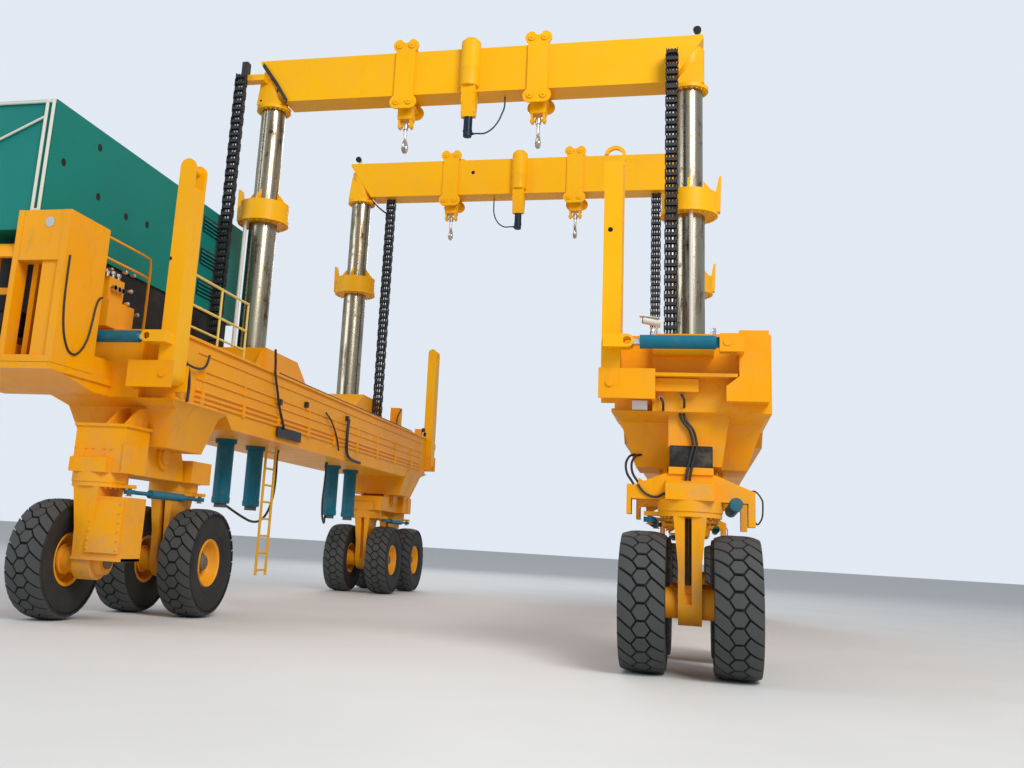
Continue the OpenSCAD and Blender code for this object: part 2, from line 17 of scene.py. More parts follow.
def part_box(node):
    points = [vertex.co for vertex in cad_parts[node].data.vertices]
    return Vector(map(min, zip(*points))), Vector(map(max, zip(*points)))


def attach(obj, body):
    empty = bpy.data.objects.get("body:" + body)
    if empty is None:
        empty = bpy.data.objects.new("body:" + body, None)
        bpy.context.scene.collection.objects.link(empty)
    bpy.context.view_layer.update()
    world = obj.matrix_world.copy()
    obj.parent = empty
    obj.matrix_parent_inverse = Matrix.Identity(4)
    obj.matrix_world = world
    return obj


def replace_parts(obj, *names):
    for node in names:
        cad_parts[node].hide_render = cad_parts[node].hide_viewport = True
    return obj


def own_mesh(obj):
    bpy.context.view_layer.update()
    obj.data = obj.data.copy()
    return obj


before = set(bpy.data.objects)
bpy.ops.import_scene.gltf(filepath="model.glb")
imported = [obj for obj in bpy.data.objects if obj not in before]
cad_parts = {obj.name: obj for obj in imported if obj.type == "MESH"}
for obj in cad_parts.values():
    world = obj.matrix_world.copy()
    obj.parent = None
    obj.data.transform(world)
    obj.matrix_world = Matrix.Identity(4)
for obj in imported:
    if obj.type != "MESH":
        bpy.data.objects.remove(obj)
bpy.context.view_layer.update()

# Where the machine's middle is in the frame's coordinates, and the sizes that pieces share.
SHIFT = np.array([0.590, 0.370, 0.0])
COL_X, COL_Y = 3.920, 2.840
BEAM_Z, BEAM_TOP, BEAM_HALF, LAMP_X, POD_X = 9.380, 10.246, 0.265, 4.06, 0.025
BOGIE_X, BOGIE_Y, HALF_PITCH = 3.970, 6.225, 1.075
LEG_TOP, AXLE_Z, UNDERSIDE = 1.8595, 0.810, 2.8595
DECK, FRAME_END = 4.025, 7.345

# Which way the corners lie in X and Y, and how far along Y a bogie's two axles stand.
CORNERS = {"fl": (-1, -1), "fr": (1, -1), "rl": (-1, 1), "rr": (1, 1)}
AXLES = {"a": 7.300, "b": 5.150}
UNITS = [(f"{corner}_{unit}", sx, sy, reach) for corner, (sx, sy) in CORNERS.items()
         for unit, reach in AXLES.items()]
# The axle whose inner tyre is missing.
SINGLE = "fl_a"

# The corners that a piece is mirrored to from where it is drawn. HERE leaves it as it is drawn.
HERE = [(1, 1)]
BOTH_SIDES = [(-1, 1), (1, 1)]
RIGHT_ENDS = [(1, -1), (1, 1)]
LEFT_ENDS = [(-1, -1), (-1, 1)]
EVERY = list(CORNERS.values())


# %% [markdown]
# ## The camera
#
# A photograph can be matched by hand, by trying lens and place until edges line up, or by
# solving for them from points whose real places are known. Here some seventy points gave the
# place, the three turns and the focal length. The picture's own middle isn't its optical
# middle, which Blender expresses as a lens shift.

# %% Camera
def camera_matrix(eye, yaw, pitch, roll):
    """The camera looks along +Y, turned left by yaw, up by pitch and then rolled about its view."""
    forward = np.array([-math.sin(yaw) * math.cos(pitch), math.cos(yaw) * math.cos(pitch), math.sin(pitch)])
    right = np.array([math.cos(yaw), math.sin(yaw), 0.0])
    up = np.cross(right, forward)
    rolled_right = right * math.cos(roll) + up * math.sin(roll)
    rolled_up = up * math.cos(roll) - right * math.sin(roll)
    m = np.eye(4)
    m[:3, 0], m[:3, 1], m[:3, 2], m[:3, 3] = rolled_right, rolled_up, -forward, eye
    return Matrix(m.tolist())


lens = bpy.data.cameras.new("photo_lens")
lens.sensor_width = 36.0
lens.lens = 36.70
lens.shift_x = 0.0871
lens.shift_y = -0.0857
lens.clip_end = 400.0
camera = bpy.data.objects.new("photo_camera", lens)
bpy.context.scene.collection.objects.link(camera)
camera.matrix_world = camera_matrix((4.628, -20.068, 1.364), math.radians(15.061),
                                    math.radians(13.069), math.radians(3.466))
bpy.context.scene.camera = camera
print("camera at", [round(v, 2) for v in camera.location])


# %% [markdown]
# ## A way to build surfaces
#
# A mesh can be modelled by hand, with modifiers, or worked out. Here every new piece is worked
# out: a grid of points is a function of two parameters, and the faces follow from the grid's
# rows and columns. A bag collects many such grids and becomes one mesh at the end, which keeps
# the number of objects small.

# %% Mesh helpers
class Bag:
    """Collects vertices and faces of many surfaces for one mesh. paint is the number of the
    finish that the next faces take, and worn is the next points' share of bare, dusty rubber."""

    def __init__(self):
        self.verts, self.faces, self.count = [], [], 0
        self.paint, self.worn = 0, 0.0
        self.paints, self.wear = [], []

    def add(self, points, faces):
        """Takes an array of points and rows of indices into it."""
        points = np.asarray(points, float).reshape(-1, 3)
        self.verts.append(points)
        rows = [(np.asarray(f) + self.count).tolist() for f in faces]
        self.faces.extend(rows)
        self.paints.extend([self.paint] * len(rows))
        self.wear.append(np.broadcast_to(self.worn, len(points)))
        self.count += len(points)

    def grid(self, p, close_u=False, close_v=False, caps=False):
        """Quads between neighbouring rows u and columns v. A closed direction joins its last
        line to its first, and caps fill the first and the last row."""
        nu, nv = p.shape[:2]
        i = np.arange(nu * nv).reshape(nu, nv)
        a = np.vstack([i, i[:1]]) if close_u else i
        a = np.hstack([a, a[:, :1]]) if close_v else a
        quads = np.stack([a[:-1, :-1], a[1:, :-1], a[1:, 1:], a[:-1, 1:]], -1).reshape(-1, 4)
        ends = [i[0], i[-1][::-1]] if caps else []
        self.add(p, list(quads) + ends)

    def merge(self, other, corners):
        """Takes another bag's surfaces once for each (x sign, y sign), moved into the frame."""
        points = np.vstack(other.verts)
        for sx, sy in corners:
            self.add(points * [sx, sy, 1.0] + SHIFT, other.faces)
            self.paints[-len(other.faces):] = other.paints

    def build(self, name, materials, body, smooth=None, slot=None):
        """Makes the mesh, turns its faces outwards and lets it ride on a body."""
        mesh = bpy.data.meshes.new(name)
        mesh.from_pydata(np.vstack(self.verts).tolist(), [], self.faces)
        for material in materials if isinstance(materials, (list, tuple)) else [materials]:
            mesh.materials.append(material)
        mesh.polygons.foreach_set("material_index", np.array(self.paints, "i"))
        worn = mesh.attributes.new("wear", "FLOAT", "POINT")
        worn.data.foreach_set("value", np.concatenate(self.wear).astype("f"))
        shell = bmesh.new()
        shell.from_mesh(mesh)
        bmesh.ops.recalc_face_normals(shell, faces=shell.faces)
        shell.to_mesh(mesh)
        shell.free()
        obj = bpy.data.objects.new(name, mesh)
        bpy.context.scene.collection.objects.link(obj)
        if smooth is not None:
            mesh.shade_smooth()
            mesh.set_sharp_from_angle(angle=math.radians(smooth))
        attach(obj, body)
        return obj


def assembled(parts, name, material, body, slot="yellow_paint", smooth=40):
    """One mesh from (bag, corners) pairs that are drawn about the machine's middle."""
    whole = Bag()
    for bag, corners in parts:
        whole.merge(bag, corners)
    return whole.build(name, material, body, smooth, slot)


def place(x, y, z):
    """A point given from the machine's middle, in metres, in the frame's coordinates."""
    return np.array([x, y, z]) + SHIFT


def turned(points, axis):
    """Turns points drawn about Z so that they lie about the X, Y or Z axis."""
    points = np.asarray(points, float)
    order = {"Z": [0, 1, 2], "X": [2, 0, 1], "Y": [1, 2, 0]}[axis]
    return points[..., order]


def revolved(bag, profile, centre, axis="Z", steps=48, closed=True):
    """Carries (radius, height) pairs round an axis through centre. A closed profile is a ring."""
    profile = np.asarray(profile, float)
    a = np.linspace(0.0, 2.0 * math.pi, steps, endpoint=False)
    r, h = profile[:, 0], profile[:, 1]
    p = np.stack([np.cos(a)[:, None] * r, np.sin(a)[:, None] * r, np.broadcast_to(h, (steps, len(h)))], -1)
    bag.grid(turned(p, axis) + np.asarray(centre), close_u=True, close_v=closed)


def tube(bag, route, radius, sides=10):
    """A round tube along a route: at each point a circle stands square to the direction there,
    and each circle is turned as little as it can be from the one before."""
    route = np.asarray(route, float)
    along = np.gradient(route, axis=0)
    along /= np.linalg.norm(along, axis=1)[:, None]
    first = np.cross(along[0], [0.31, 0.57, 0.76])
    normals = [first / np.linalg.norm(first)]
    for t in along[1:]:
        n = normals[-1] - t * np.dot(normals[-1], t)
        normals.append(n / np.linalg.norm(n))
    normals = np.array(normals)
    others = np.cross(along, normals)
    a = np.linspace(0.0, 2.0 * math.pi, sides, endpoint=False)
    radius = np.broadcast_to(radius, len(route))[:, None, None]
    ring = normals[:, None] * np.cos(a)[:, None] + others[:, None] * np.sin(a)[:, None]
    bag.grid(route[:, None] + ring * radius, close_v=True, caps=True)


def block(bag, low, high):
    """A box between two corners."""
    low, high = np.asarray(low, float), np.asarray(high, float)
    u = np.array([[0, 0], [1, 0], [1, 1], [0, 1]], float)
    p = np.stack([np.column_stack([u, np.zeros(4)]), np.column_stack([u, np.ones(4)])])
    bag.grid(low + p * (high - low), close_v=True, caps=True)


def prism(bag, outline, near, far, axis="Z"):
    """An outline of two-number points carried from near to far along an axis."""
    outline = np.asarray(outline, float)
    p = np.stack([np.column_stack([outline, np.full(len(outline), h)]) for h in (near, far)])
    bag.grid(turned(p, axis), close_v=True, caps=True)


def spline(points, count):
    """A smooth curve through points: each span is a cubic whose slopes come from the
    neighbours on either side."""
    p = np.asarray(points, float)
    p = np.vstack([2 * p[0] - p[1], p, 2 * p[-1] - p[-2]])
    t = np.linspace(0, len(p) - 3 - 1e-9, count)
    k = t.astype(int)
    f = (t - k)[:, None]
    a, b, c, d = p[k], p[k + 1], p[k + 2], p[k + 3]
    return 0.5 * (2 * b + (c - a) * f + (2 * a - 5 * b + 4 * c - d) * f ** 2
                  + (3 * b - 3 * c + d - a) * f ** 3)


print("helpers ready")


# %% [markdown]
# ## Effects that several finishes share
#
# Paint on a working machine fades in patches, gathers road dust on low parts and runs in
# streaks below seams. Each of these is a small group of nodes with named inputs, so that every
# finish can use it at its own strength. The groups give out only masks and values, and the
# shader itself stays in each material.

# %% Node group helpers
def new_group(name, inputs, outputs):
    """A shader node group with float inputs and the outputs that are named. It comes with its
    inputs' sockets, its outputs' sockets and the coordinates of the object."""
    group = bpy.data.node_groups.new(name, "ShaderNodeTree")
    for label, value in inputs:
        socket = group.interface.new_socket(name=label, in_out="INPUT", socket_type="NodeSocketFloat")
        socket.default_value = value
    for label in outputs:
        group.interface.new_socket(name=label, in_out="OUTPUT", socket_type="NodeSocketFloat")
    into = group.nodes.new("NodeGroupInput").outputs
    return group, into, group.nodes.new("NodeGroupOutput").inputs, object_coords(group)


def object_coords(tree):
    """The object's own coordinates, which are the frame's here."""
    return tree.nodes.new("ShaderNodeTexCoord").outputs["Object"]


def node(tree, kind, links=(), **values):
    """A node with its settings and, for each (socket, source), a link into it."""
    made = tree.nodes.new(kind)
    for key, value in values.items():
        if key.startswith("in_"):
            made.inputs[int(key[3:])].default_value = value
        else:
            setattr(made, key, value)
    for socket, source in links:
        tree.links.new(source, made.inputs[socket])
    return made


def noise(tree, coords, scale, stretch=(1, 1, 1), detail=4.0, rough=0.6):
    """Noise of that scale on coordinates that are stretched first."""
    mapped = node(tree, "ShaderNodeMapping", [(0, coords)])
    mapped.inputs["Scale"].default_value = stretch
    made = node(tree, "ShaderNodeTexNoise", [(0, mapped.outputs[0])])
    made.inputs["Scale"].default_value = scale
    made.inputs["Detail"].default_value = detail
    made.inputs["Roughness"].default_value = rough
    return made.outputs["Fac"]


def ramp(tree, source, low, high, out_low=0.0, out_high=1.0):
    """Maps low..high to out_low..out_high and holds it at the ends."""
    made = node(tree, "ShaderNodeMapRange", [(0, source)], in_1=low, in_2=high, in_3=out_low, in_4=out_high)
    return made.outputs[0]


def math_node(tree, operation, a, b):
    """One operation on two sources or numbers. A sum or a product stops at one."""
    made = node(tree, "ShaderNodeMath", operation=operation, use_clamp=operation in ("ADD", "MULTIPLY"))
    for i, value in enumerate((a, b)):
        if isinstance(value, (int, float)):
            made.inputs[i].default_value = value
        else:
            tree.links.new(value, made.inputs[i])
    return made.outputs[0]


def times(tree, a, b):
    """The product of two sources or numbers."""
    return math_node(tree, "MULTIPLY", a, b)


# %% The groups
def make_grime():
    """Dust: a mask that is stronger near the ground and broken up by noise. Streaks: noise
    drawn out along Z. Fade: broad, soft patches."""
    group, into, out, coords = new_group("grime", [("Dust", 0.5), ("Streaks", 0.5), ("Fade", 0.5)],
                                         ["Dust", "Streaks", "Fade"])
    split = node(group, "ShaderNodeSeparateXYZ", [(0, coords)])
    low = ramp(group, split.outputs[2], 0.3, 4.2, 1.0, 0.25)
    patch = ramp(group, noise(group, coords, 1.7), 0.42, 0.78)
    fine = ramp(group, noise(group, coords, 9.0, detail=6.0), 0.45, 0.70)
    dust = times(group, times(group, low, patch), math_node(group, "ADD", fine, 0.35))
    drawn_out = noise(group, coords, 2.6, (1.7, 1.7, 0.45), detail=7.0, rough=0.72)
    runs = ramp(group, drawn_out, 0.56, 0.80, 0.0, 0.45)
    fade = ramp(group, noise(group, coords, 0.55, detail=2.0), 0.35, 0.68)
    for i, mask in enumerate((dust, runs, fade)):
        group.links.new(times(group, mask, into[i]), out[i])
    return group


def make_scuffs():
    """Small chips and scratches: fine noise inside broad areas, where only its peaks show."""
    group, into, out, coords = new_group("scuffs", [("Amount", 0.5), ("Scale", 14.0)], ["Mask"])
    spots = node(group, "ShaderNodeTexNoise", [(0, coords), ("Scale", into[1])])
    spots.inputs["Detail"].default_value = 8.0
    spots.inputs["Roughness"].default_value = 0.72
    area = ramp(group, noise(group, coords, 1.1), 0.48, 0.62)
    peak = ramp(group, spots.outputs["Fac"], 0.64, 0.69)
    group.links.new(times(group, times(group, peak, area), into[0]), out[0])
    return group


def make_region():
    """1 inside a region and 0 outside: the sum over X, Y and Z of (distance from the middle over
    half size) to a power is under one. A power of 2 is a ball, and a high one is a box."""
    labels = ["X", "Y", "Z", "Half X", "Half Y", "Half Z", "Power"]
    group, into, out, coords = new_group("region", [(label, 1.0) for label in labels], ["Mask"])
    split = node(group, "ShaderNodeSeparateXYZ", [(0, coords)])
    total = None
    for i in range(3):
        away = math_node(group, "ABSOLUTE", math_node(group, "SUBTRACT", split.outputs[i], into[i]), 0.0)
        share = math_node(group, "MINIMUM", math_node(group, "DIVIDE", away, into[i + 3]), 1.4)
        term = math_node(group, "POWER", share, into[6])
        # A plain sum, since the helper's would stop at one.
        if total is not None:
            term = node(group, "ShaderNodeMath", [(0, total), (1, term)], operation="ADD").outputs[0]
        total = term
    group.links.new(math_node(group, "LESS_THAN", total, 1.0), out[0])
    return group


GRIME = make_grime()
SCUFFS = make_scuffs()
REGION = make_region()
print("groups", GRIME.name, SCUFFS.name, REGION.name)


# %% [markdown]
# ## Finishes
#
# Machine enamel is a coloured coat with a slight gloss, so its base colour carries the wear and
# its roughness rises where dust lies. Ground columns are bare metal, and their look comes from
# roughness, grease and rust. One function makes each painted finish from a colour and a few
# strengths, and the odd ones are written out.

# %% Painted finishes
def mixed(tree, factor, under, over):
    """Mixes two colours by a factor, either of them a socket or three numbers."""
    made = node(tree, "ShaderNodeMix", data_type="RGBA")
    tree.links.new(factor, made.inputs["Factor"])
    for index, value in ((6, under), (7, over)):
        if hasattr(value, "is_linked"):
            tree.links.new(value, made.inputs[index])
        else:
            made.inputs[index].default_value = (*value, 1.0)
    return made.outputs[2]


def finish(name, rough, metal=0.0):
    """A material with its shader's fixed values set on the shader's own sockets."""
    material = bpy.data.materials.new(name)
    material.use_nodes = True
    tree = material.node_tree
    shader = tree.nodes["Principled BSDF"]
    shader.inputs["Roughness"].default_value = rough
    shader.inputs["Metallic"].default_value = metal
    return material, tree, shader


def add_bump(tree, shader, height, strength, distance):
    """A bump node that feeds the shader's normal."""
    bump = node(tree, "ShaderNodeBump", [("Height", height)])
    bump.inputs["Strength"].default_value = strength
    bump.inputs["Distance"].default_value = distance
    tree.links.new(bump.outputs[0], shader.inputs["Normal"])


def region(tree, low, high, ball=False):
    """The mask of a box between two corners, or of a ball from its middle and half sizes, in
    metres from the machine's middle."""
    low, high = np.asarray(low, float), np.asarray(high, float)
    middle, half = (low, high) if ball else (0.5 * (low + high), 0.5 * np.abs(high - low))
    mask = node(tree, "ShaderNodeGroup", node_tree=REGION)
    for i, value in enumerate([*(middle + SHIFT), *half, 2.0 if ball else 60.0]):
        mask.inputs[i].default_value = float(value)
    return mask.outputs[0]


def patched(tree, tone, patches):
    """Lays other colours over a tone by place. A patch is (low corner, high corner, colour) for a
    box, or (middle, half sizes, colour, "ball")."""
    for low, high, colour, *form in patches:
        tone = mixed(tree, region(tree, low, high, bool(form)), tone, colour)
    return tone


def painted(name, colour, deep, dust=0.5, streaks=0.35, fade=0.6, chips=0.5, rough=0.38, patches=()):
    """Enamel: the colour deepens in broad patches, is chipped to primer in places, runs darken
    it in streaks, and dust lies over all of it near the ground."""
    material, tree, shader = finish(name, rough)
    shader.inputs["Specular IOR Level"].default_value = 0.22
    grime = node(tree, "ShaderNodeGroup", node_tree=GRIME, in_0=dust, in_1=streaks, in_2=fade)
    scuffs = node(tree, "ShaderNodeGroup", node_tree=SCUFFS, in_0=chips, in_1=13.0)
    tone = patched(tree, mixed(tree, grime.outputs["Fade"], colour, deep), patches)
    tone = mixed(tree, grime.outputs["Streaks"], tone, tuple(0.35 * c for c in deep))
    tone = mixed(tree, scuffs.outputs[0], tone, (0.10, 0.055, 0.03))
    tone = mixed(tree, grime.outputs["Dust"], tone, (0.36, 0.31, 0.25))
    tree.links.new(tone, shader.inputs["Base Color"])
    ripple = noise(tree, object_coords(tree), 38.0, detail=3.0)
    gloss = ramp(tree, ripple, 0.3, 0.7, rough - 0.06, rough + 0.07)
    tree.links.new(math_node(tree, "ADD", gloss, grime.outputs["Dust"]), shader.inputs["Roughness"])
    add_bump(tree, shader, ripple, 0.06, 0.004)
    return material


# The second yellow is a lighter, yellower copy of the first, the same enamel: painted sunlight on the beams,
# the parts on them, the collars and the tie arm.
GOLD, GOLD_DEEP = (0.950, 0.400, 0.001), (0.860, 0.330, 0.001)
SUNLIT_YELLOW, SUNLIT_YELLOW_DEEP = (0.980, 0.495, 0.001), (0.940, 0.440, 0.001)
NIGHT = (0.012, 0.012, 0.013)
DARK_BLUE = (0.006, 0.022, 0.050)
SEA = (0.004, 0.130, 0.200)

# Each right bogie has a sleeve of a steering cylinder and a rubber block.
BOGIE_PATCHES = [((4.495, 0.0, 1.970), (0.082, 60.0, 0.082), SEA, "ball")]
BOGIE_PATCHES += [((3.725, way * 6.860, 2.381), (4.235, way * 7.465, 2.640), NIGHT) for way in (-1, 1)]
# Each beam has a dark drum, a lamp with a dark face and a pale body, and a few holes that are painted shade:
# near black discs.
BEAM_PATCHES = []
for way in (-1, 1):
    x, y = way * LAMP_X, -way * COL_Y
    BEAM_PATCHES += [((-0.10, y - 0.40, 8.40), (0.15, y - 0.16, 8.878), DARK_BLUE),
                     ((x - 0.10, y - 0.125, 10.34), (x + 0.10, y - 0.060, 10.52), NIGHT),
                     ((x - 0.10, y - 0.060, 10.25), (x + 0.10, y + 0.080, 10.52), (0.75, 0.76, 0.75))]
# The holes are painted shade: near black discs on the plate, where no hole is cut.
BEAM_PATCHES += [(middle, half, NIGHT, "ball") for middle, half in (
    ((-1.10, COL_Y - BEAM_HALF, 9.93), (0.045, 0.03, 0.045)),
    ((-3.78, -COL_Y - BEAM_HALF, 9.62), (0.030, 0.06, 0.030)),
    ((-3.66, -COL_Y - BEAM_HALF, 9.42), (0.026, 0.06, 0.020)),
    ((-4.10, -COL_Y - BEAM_HALF, 9.42), (0.026, 0.06, 0.020)))]
# The enclosure has holes in its inner side, and banks of louvres in both: (side, y, z) each. Both get painted
# shade: the holes are near black discs, and the louvres have dark teal panels behind their slats.
PACK_IN, PACK_OUT = -4.600, -6.100
LOUVRES = [(PACK_IN, -3.4, 6.70), (PACK_IN, -3.4, 6.10), (PACK_IN, -3.4, 5.53), (PACK_OUT, -8.0, 6.55),
           (PACK_OUT, -6.8, 6.55), (PACK_OUT, -3.4, 6.55), (PACK_OUT, -3.4, 5.85)]
PACK_PAINTED_SHADE = [((PACK_IN, y, z), (0.058, 0.058, 0.058), NIGHT, "ball")
              for y, z in ((-8.26, 6.24), (-7.43, 6.78), (-7.31, 6.05), (-6.49, 6.00), (-5.84, 6.07))]
for side, y, z in LOUVRES:
    # The inner banks stand out further, and their painted shade stops short of the slats' edges, which stay
    # in the lighter tone.
    x = side - 0.010 if side == PACK_IN else side
    PACK_PAINTED_SHADE.append(((x - 0.020, y - 0.52, z - 0.155), (x + 0.020, y + 0.52, z + 0.155),
                       (0.000, 0.040, 0.042)))

YELLOW = painted("yellow_enamel", GOLD, GOLD_DEEP, chips=0.7)
BOGIE_YELLOW = painted("bogie_enamel", GOLD, GOLD_DEEP, 0.75, 0.6, chips=0.8, patches=BOGIE_PATCHES)
BAY_YELLOW = painted("pump_bay_enamel", GOLD, GOLD_DEEP, 0.6, 0.75, chips=0.9, patches=[
    ((-4.26, -8.86, 5.17), (0.075, 0.05, 0.075), (0.09, 0.05, 0.03), "ball"),
    # Painted shade: the back wall inside the tall box's open front is painted near black.
    ((-4.72, -8.20, 3.30), (-4.06, -8.09, 4.66), NIGHT),
    ((-5.26, -8.60, 3.60), (-4.80, -7.80, 4.16), (0.10, 0.09, 0.08))])
BEAM_YELLOW = painted("beam_enamel", SUNLIT_YELLOW, SUNLIT_YELLOW_DEEP, 0.35, 0.25, chips=0.35,
                      patches=BEAM_PATCHES)
ARM_YELLOW = painted("arm_enamel", SUNLIT_YELLOW, GOLD, 0.4, 0.3, chips=0.5, patches=[
    ((2.99, -7.600, 5.32), (0.032, 0.04, 0.032), NIGHT, "ball"),
    ((-3.13, -7.600, 5.00), (0.030, 0.04, 0.030), NIGHT, "ball")])
RAIL_PAINT = painted("rail_enamel", (0.80, 0.62, 0.16), (0.70, 0.50, 0.10), 0.2, 0.2, chips=0.4, patches=[
    ((-6.20, -8.70, 5.30), (-4.50, -8.55, 7.10), (0.72, 0.72, 0.62)),
    ((-3.70, -2.70, 0.50), (-3.40, -2.00, 2.95), (0.80, 0.42, 0.02))])
# The enclosure's patches are painted shade in its holes and behind its louvre slats.
TEAL = painted("green_enclosure_enamel", (0.000, 0.215, 0.180), (0.000, 0.180, 0.155), dust=0.04,
               streaks=0.15, chips=0.1, rough=0.50, patches=PACK_PAINTED_SHADE)
BLUE = painted("blue_cylinder_enamel", (0.004, 0.150, 0.235), (0.003, 0.110, 0.180), dust=0.35, chips=0.3,
               patches=[((-5.0, -5.0, 1.60), (5.0, 5.0, 1.763), (0.10, 0.11, 0.12))])
BLACK = painted("black_enamel", (0.014, 0.014, 0.015), (0.008, 0.008, 0.009), dust=0.4, chips=0.1, rough=0.5)
WHITE = painted("white_enamel", (0.80, 0.81, 0.79), (0.70, 0.70, 0.67), dust=0.15, chips=0.1, rough=0.32)
HUB_PAINT = painted("worn_hub", (0.16, 0.13, 0.10), (0.10, 0.08, 0.06), dust=0.6, chips=0.6, rough=0.5)
print("painted finishes", len([m for m in bpy.data.materials if "enamel" in m.name]))


# %% Metal, rubber and plastic
def ground_steel():
    """A ground column: bright metal, with brown grease and rust that runs down it, rings left
    by the seals, and bare white measuring rods, which are told apart by their place."""
    material, tree, shader = finish("ground_steel", 0.22, 1.0)
    coords = object_coords(tree)
    drawn_out = noise(tree, coords, 3.2, (2.6, 2.6, 0.30), detail=7.0, rough=0.65)
    runs = times(tree, ramp(tree, drawn_out, 0.50, 0.66), 0.80)
    blots = times(tree, ramp(tree, noise(tree, coords, 6.0, detail=8.0, rough=0.7), 0.54, 0.64), 0.5)
    stain = math_node(tree, "ADD", runs, blots)
    tone = mixed(tree, stain, (0.430, 0.385, 0.290), (0.090, 0.050, 0.022))
    rod = 0.0
    for side, dx, dy in ((-1, -0.230, 0.290), (1, 0.040, 0.340)):
        for way in (-1, 1):
            middle = (side * COL_X + dx, way * (COL_Y + dy), 5.75)
            rod = math_node(tree, "ADD", region(tree, middle, (0.045, 0.045, 9.0), True), rod)
    tree.links.new(mixed(tree, rod, tone, (0.72, 0.72, 0.68)), shader.inputs["Base Color"])
    tree.links.new(ramp(tree, rod, 0.0, 1.0, 1.0, 0.0), shader.inputs["Metallic"])
    worn = math_node(tree, "MAXIMUM", ramp(tree, stain, 0.0, 1.0, 0.24, 0.58), times(tree, rod, 0.45))
    tree.links.new(worn, shader.inputs["Roughness"])
    rings = noise(tree, coords, 2.0, (0.05, 0.05, 14.0), detail=3.0)
    add_bump(tree, shader, rings, 0.10, 0.002)
    return material


def bright_steel(name, tone, rough):
    """A rod or a forged hook: metal with fine scratches along it."""
    material, tree, shader = finish(name, rough, 1.0)
    marks = noise(tree, object_coords(tree), 7.0, (1.0, 1.0, 0.4), detail=6.0)
    scratched = mixed(tree, ramp(tree, marks, 0.50, 0.68), tone, tuple(0.45 * c for c in tone))
    tree.links.new(scratched, shader.inputs["Base Color"])
    tree.links.new(ramp(tree, marks, 0.35, 0.7, rough - 0.05, rough + 0.18), shader.inputs["Roughness"])
    return material


def rubber(name, tone, dusty, rough, top=None):
    """Rubber: near black, matt, with pale dust held in its grain. Where a mesh says how worn a
    point is, the tops of its blocks take the tone of top."""
    material, tree, shader = finish(name, rough)
    coords = object_coords(tree)
    patch = noise(tree, coords, 2.3, detail=5.0)
    grain = noise(tree, coords, 60.0, detail=3.0)
    mask = times(tree, ramp(tree, patch, 0.36, 0.68), ramp(tree, grain, 0.30, 0.75, 0.45, 1.0))
    colour = mixed(tree, mask, tone, dusty)
    if top:
        wear = node(tree, "ShaderNodeAttribute", attribute_name="wear").outputs["Fac"]
        colour = mixed(tree, ramp(tree, wear, 0.35, 0.85), colour, top)
    tree.links.new(colour, shader.inputs["Base Color"])
    tree.links.new(ramp(tree, mask, 0.0, 1.0, rough - 0.08, rough + 0.12), shader.inputs["Roughness"])
    add_bump(tree, shader, grain, 0.12, 0.003)
    return material


STEEL = ground_steel()
ROD = bright_steel("white_metal_rod", (0.88, 0.89, 0.90), 0.26)
HOOK = bright_steel("forged_hook_steel", (0.72, 0.70, 0.66), 0.30)
TYRE = rubber("tyre_rubber", (0.011, 0.012, 0.013), (0.040, 0.039, 0.036), 0.78, (0.056, 0.060, 0.060))
CHAIN = rubber("chain_plastic", (0.010, 0.011, 0.015), (0.030, 0.031, 0.036), 0.55)
HOSE = rubber("hose_cover", (0.012, 0.013, 0.017), (0.032, 0.032, 0.034), 0.48)
BLUE_HOSE = rubber("blue_hose_cover", (0.010, 0.030, 0.095), (0.030, 0.055, 0.120), 0.45)
print("metals and rubbers ready")


# %% [markdown]
# ## Hanging hoses
#
# Two hoses loop down from the left frame to the feet of lift cylinders, and one loops from each
# beam's underside to the drum of its pod. A hose is heavy and stiff, so it leaves each port
# straight and hangs in one wide bend. The tube is carried along a smooth curve through a few
# points, and its length is measured on that curve.

# %% Four hoses
LIFT_FRONT = [(-3.700, -1.650, 2.858), (-3.700, -1.650, 2.650), (-3.700, -1.630, 2.350),
              (-3.700, -1.680, 2.000), (-3.700, -1.880, 1.690), (-3.700, -2.200, 1.520),
              (-3.710, -2.560, 1.490), (-3.760, -2.880, 1.560), (-3.850, -3.120, 1.660),
              (-3.920, -3.240, 1.725), (-3.920, -3.345, 1.725)]
LIFT_REAR = [(-3.700, 1.150, 2.858), (-3.700, 1.150, 2.650), (-3.700, 1.120, 2.350), (-3.700, 1.080, 2.050),
             (-3.710, 1.150, 1.750), (-3.750, 1.380, 1.590), (-3.820, 1.640, 1.600), (-3.890, 1.830, 1.680),
             (-3.920, 1.940, 1.725), (-3.920, 2.045, 1.725)]
POD_FRONT = [(0.105, -3.105, 8.560), (0.220, -3.105, 8.560), (0.340, -3.105, 8.560), (0.470, -3.095, 8.640),
             (0.570, -3.060, 8.790), (0.625, -3.000, 8.970), (0.650, -2.910, 9.150), (0.650, -2.910, 9.378)]
# The far pod's hose is bent the other way, mirrored about the pod's middle.
POD_REAR = [(2 * POD_X - x, y + 2 * COL_Y, z) for x, y, z in POD_FRONT]
HOSES = {"hose_lift_fl": (LIFT_FRONT, 0.022, "chassis", HOSE),
         "hose_lift_rl": (LIFT_REAR, 0.022, "chassis", HOSE),
         "hose_pod_front": (POD_FRONT, 0.015, "beam_front", BLUE_HOSE),
         "hose_pod_rear": (POD_REAR, 0.015, "beam_rear", BLUE_HOSE)}


def hanging_hose(name, points, radius, body, material):
    path = spline(points, 4 * len(points)) + SHIFT
    bag = Bag()
    tube(bag, path, radius, 14)
    hose = bag.build(name, material, body, 60, "black_chain")
    length = float(np.linalg.norm(np.diff(path, axis=0), axis=1).sum())
    return length


for name, (points, radius, body, material) in HOSES.items():
    print(name, round(hanging_hose(name, points, radius, body, material), 3), "m")


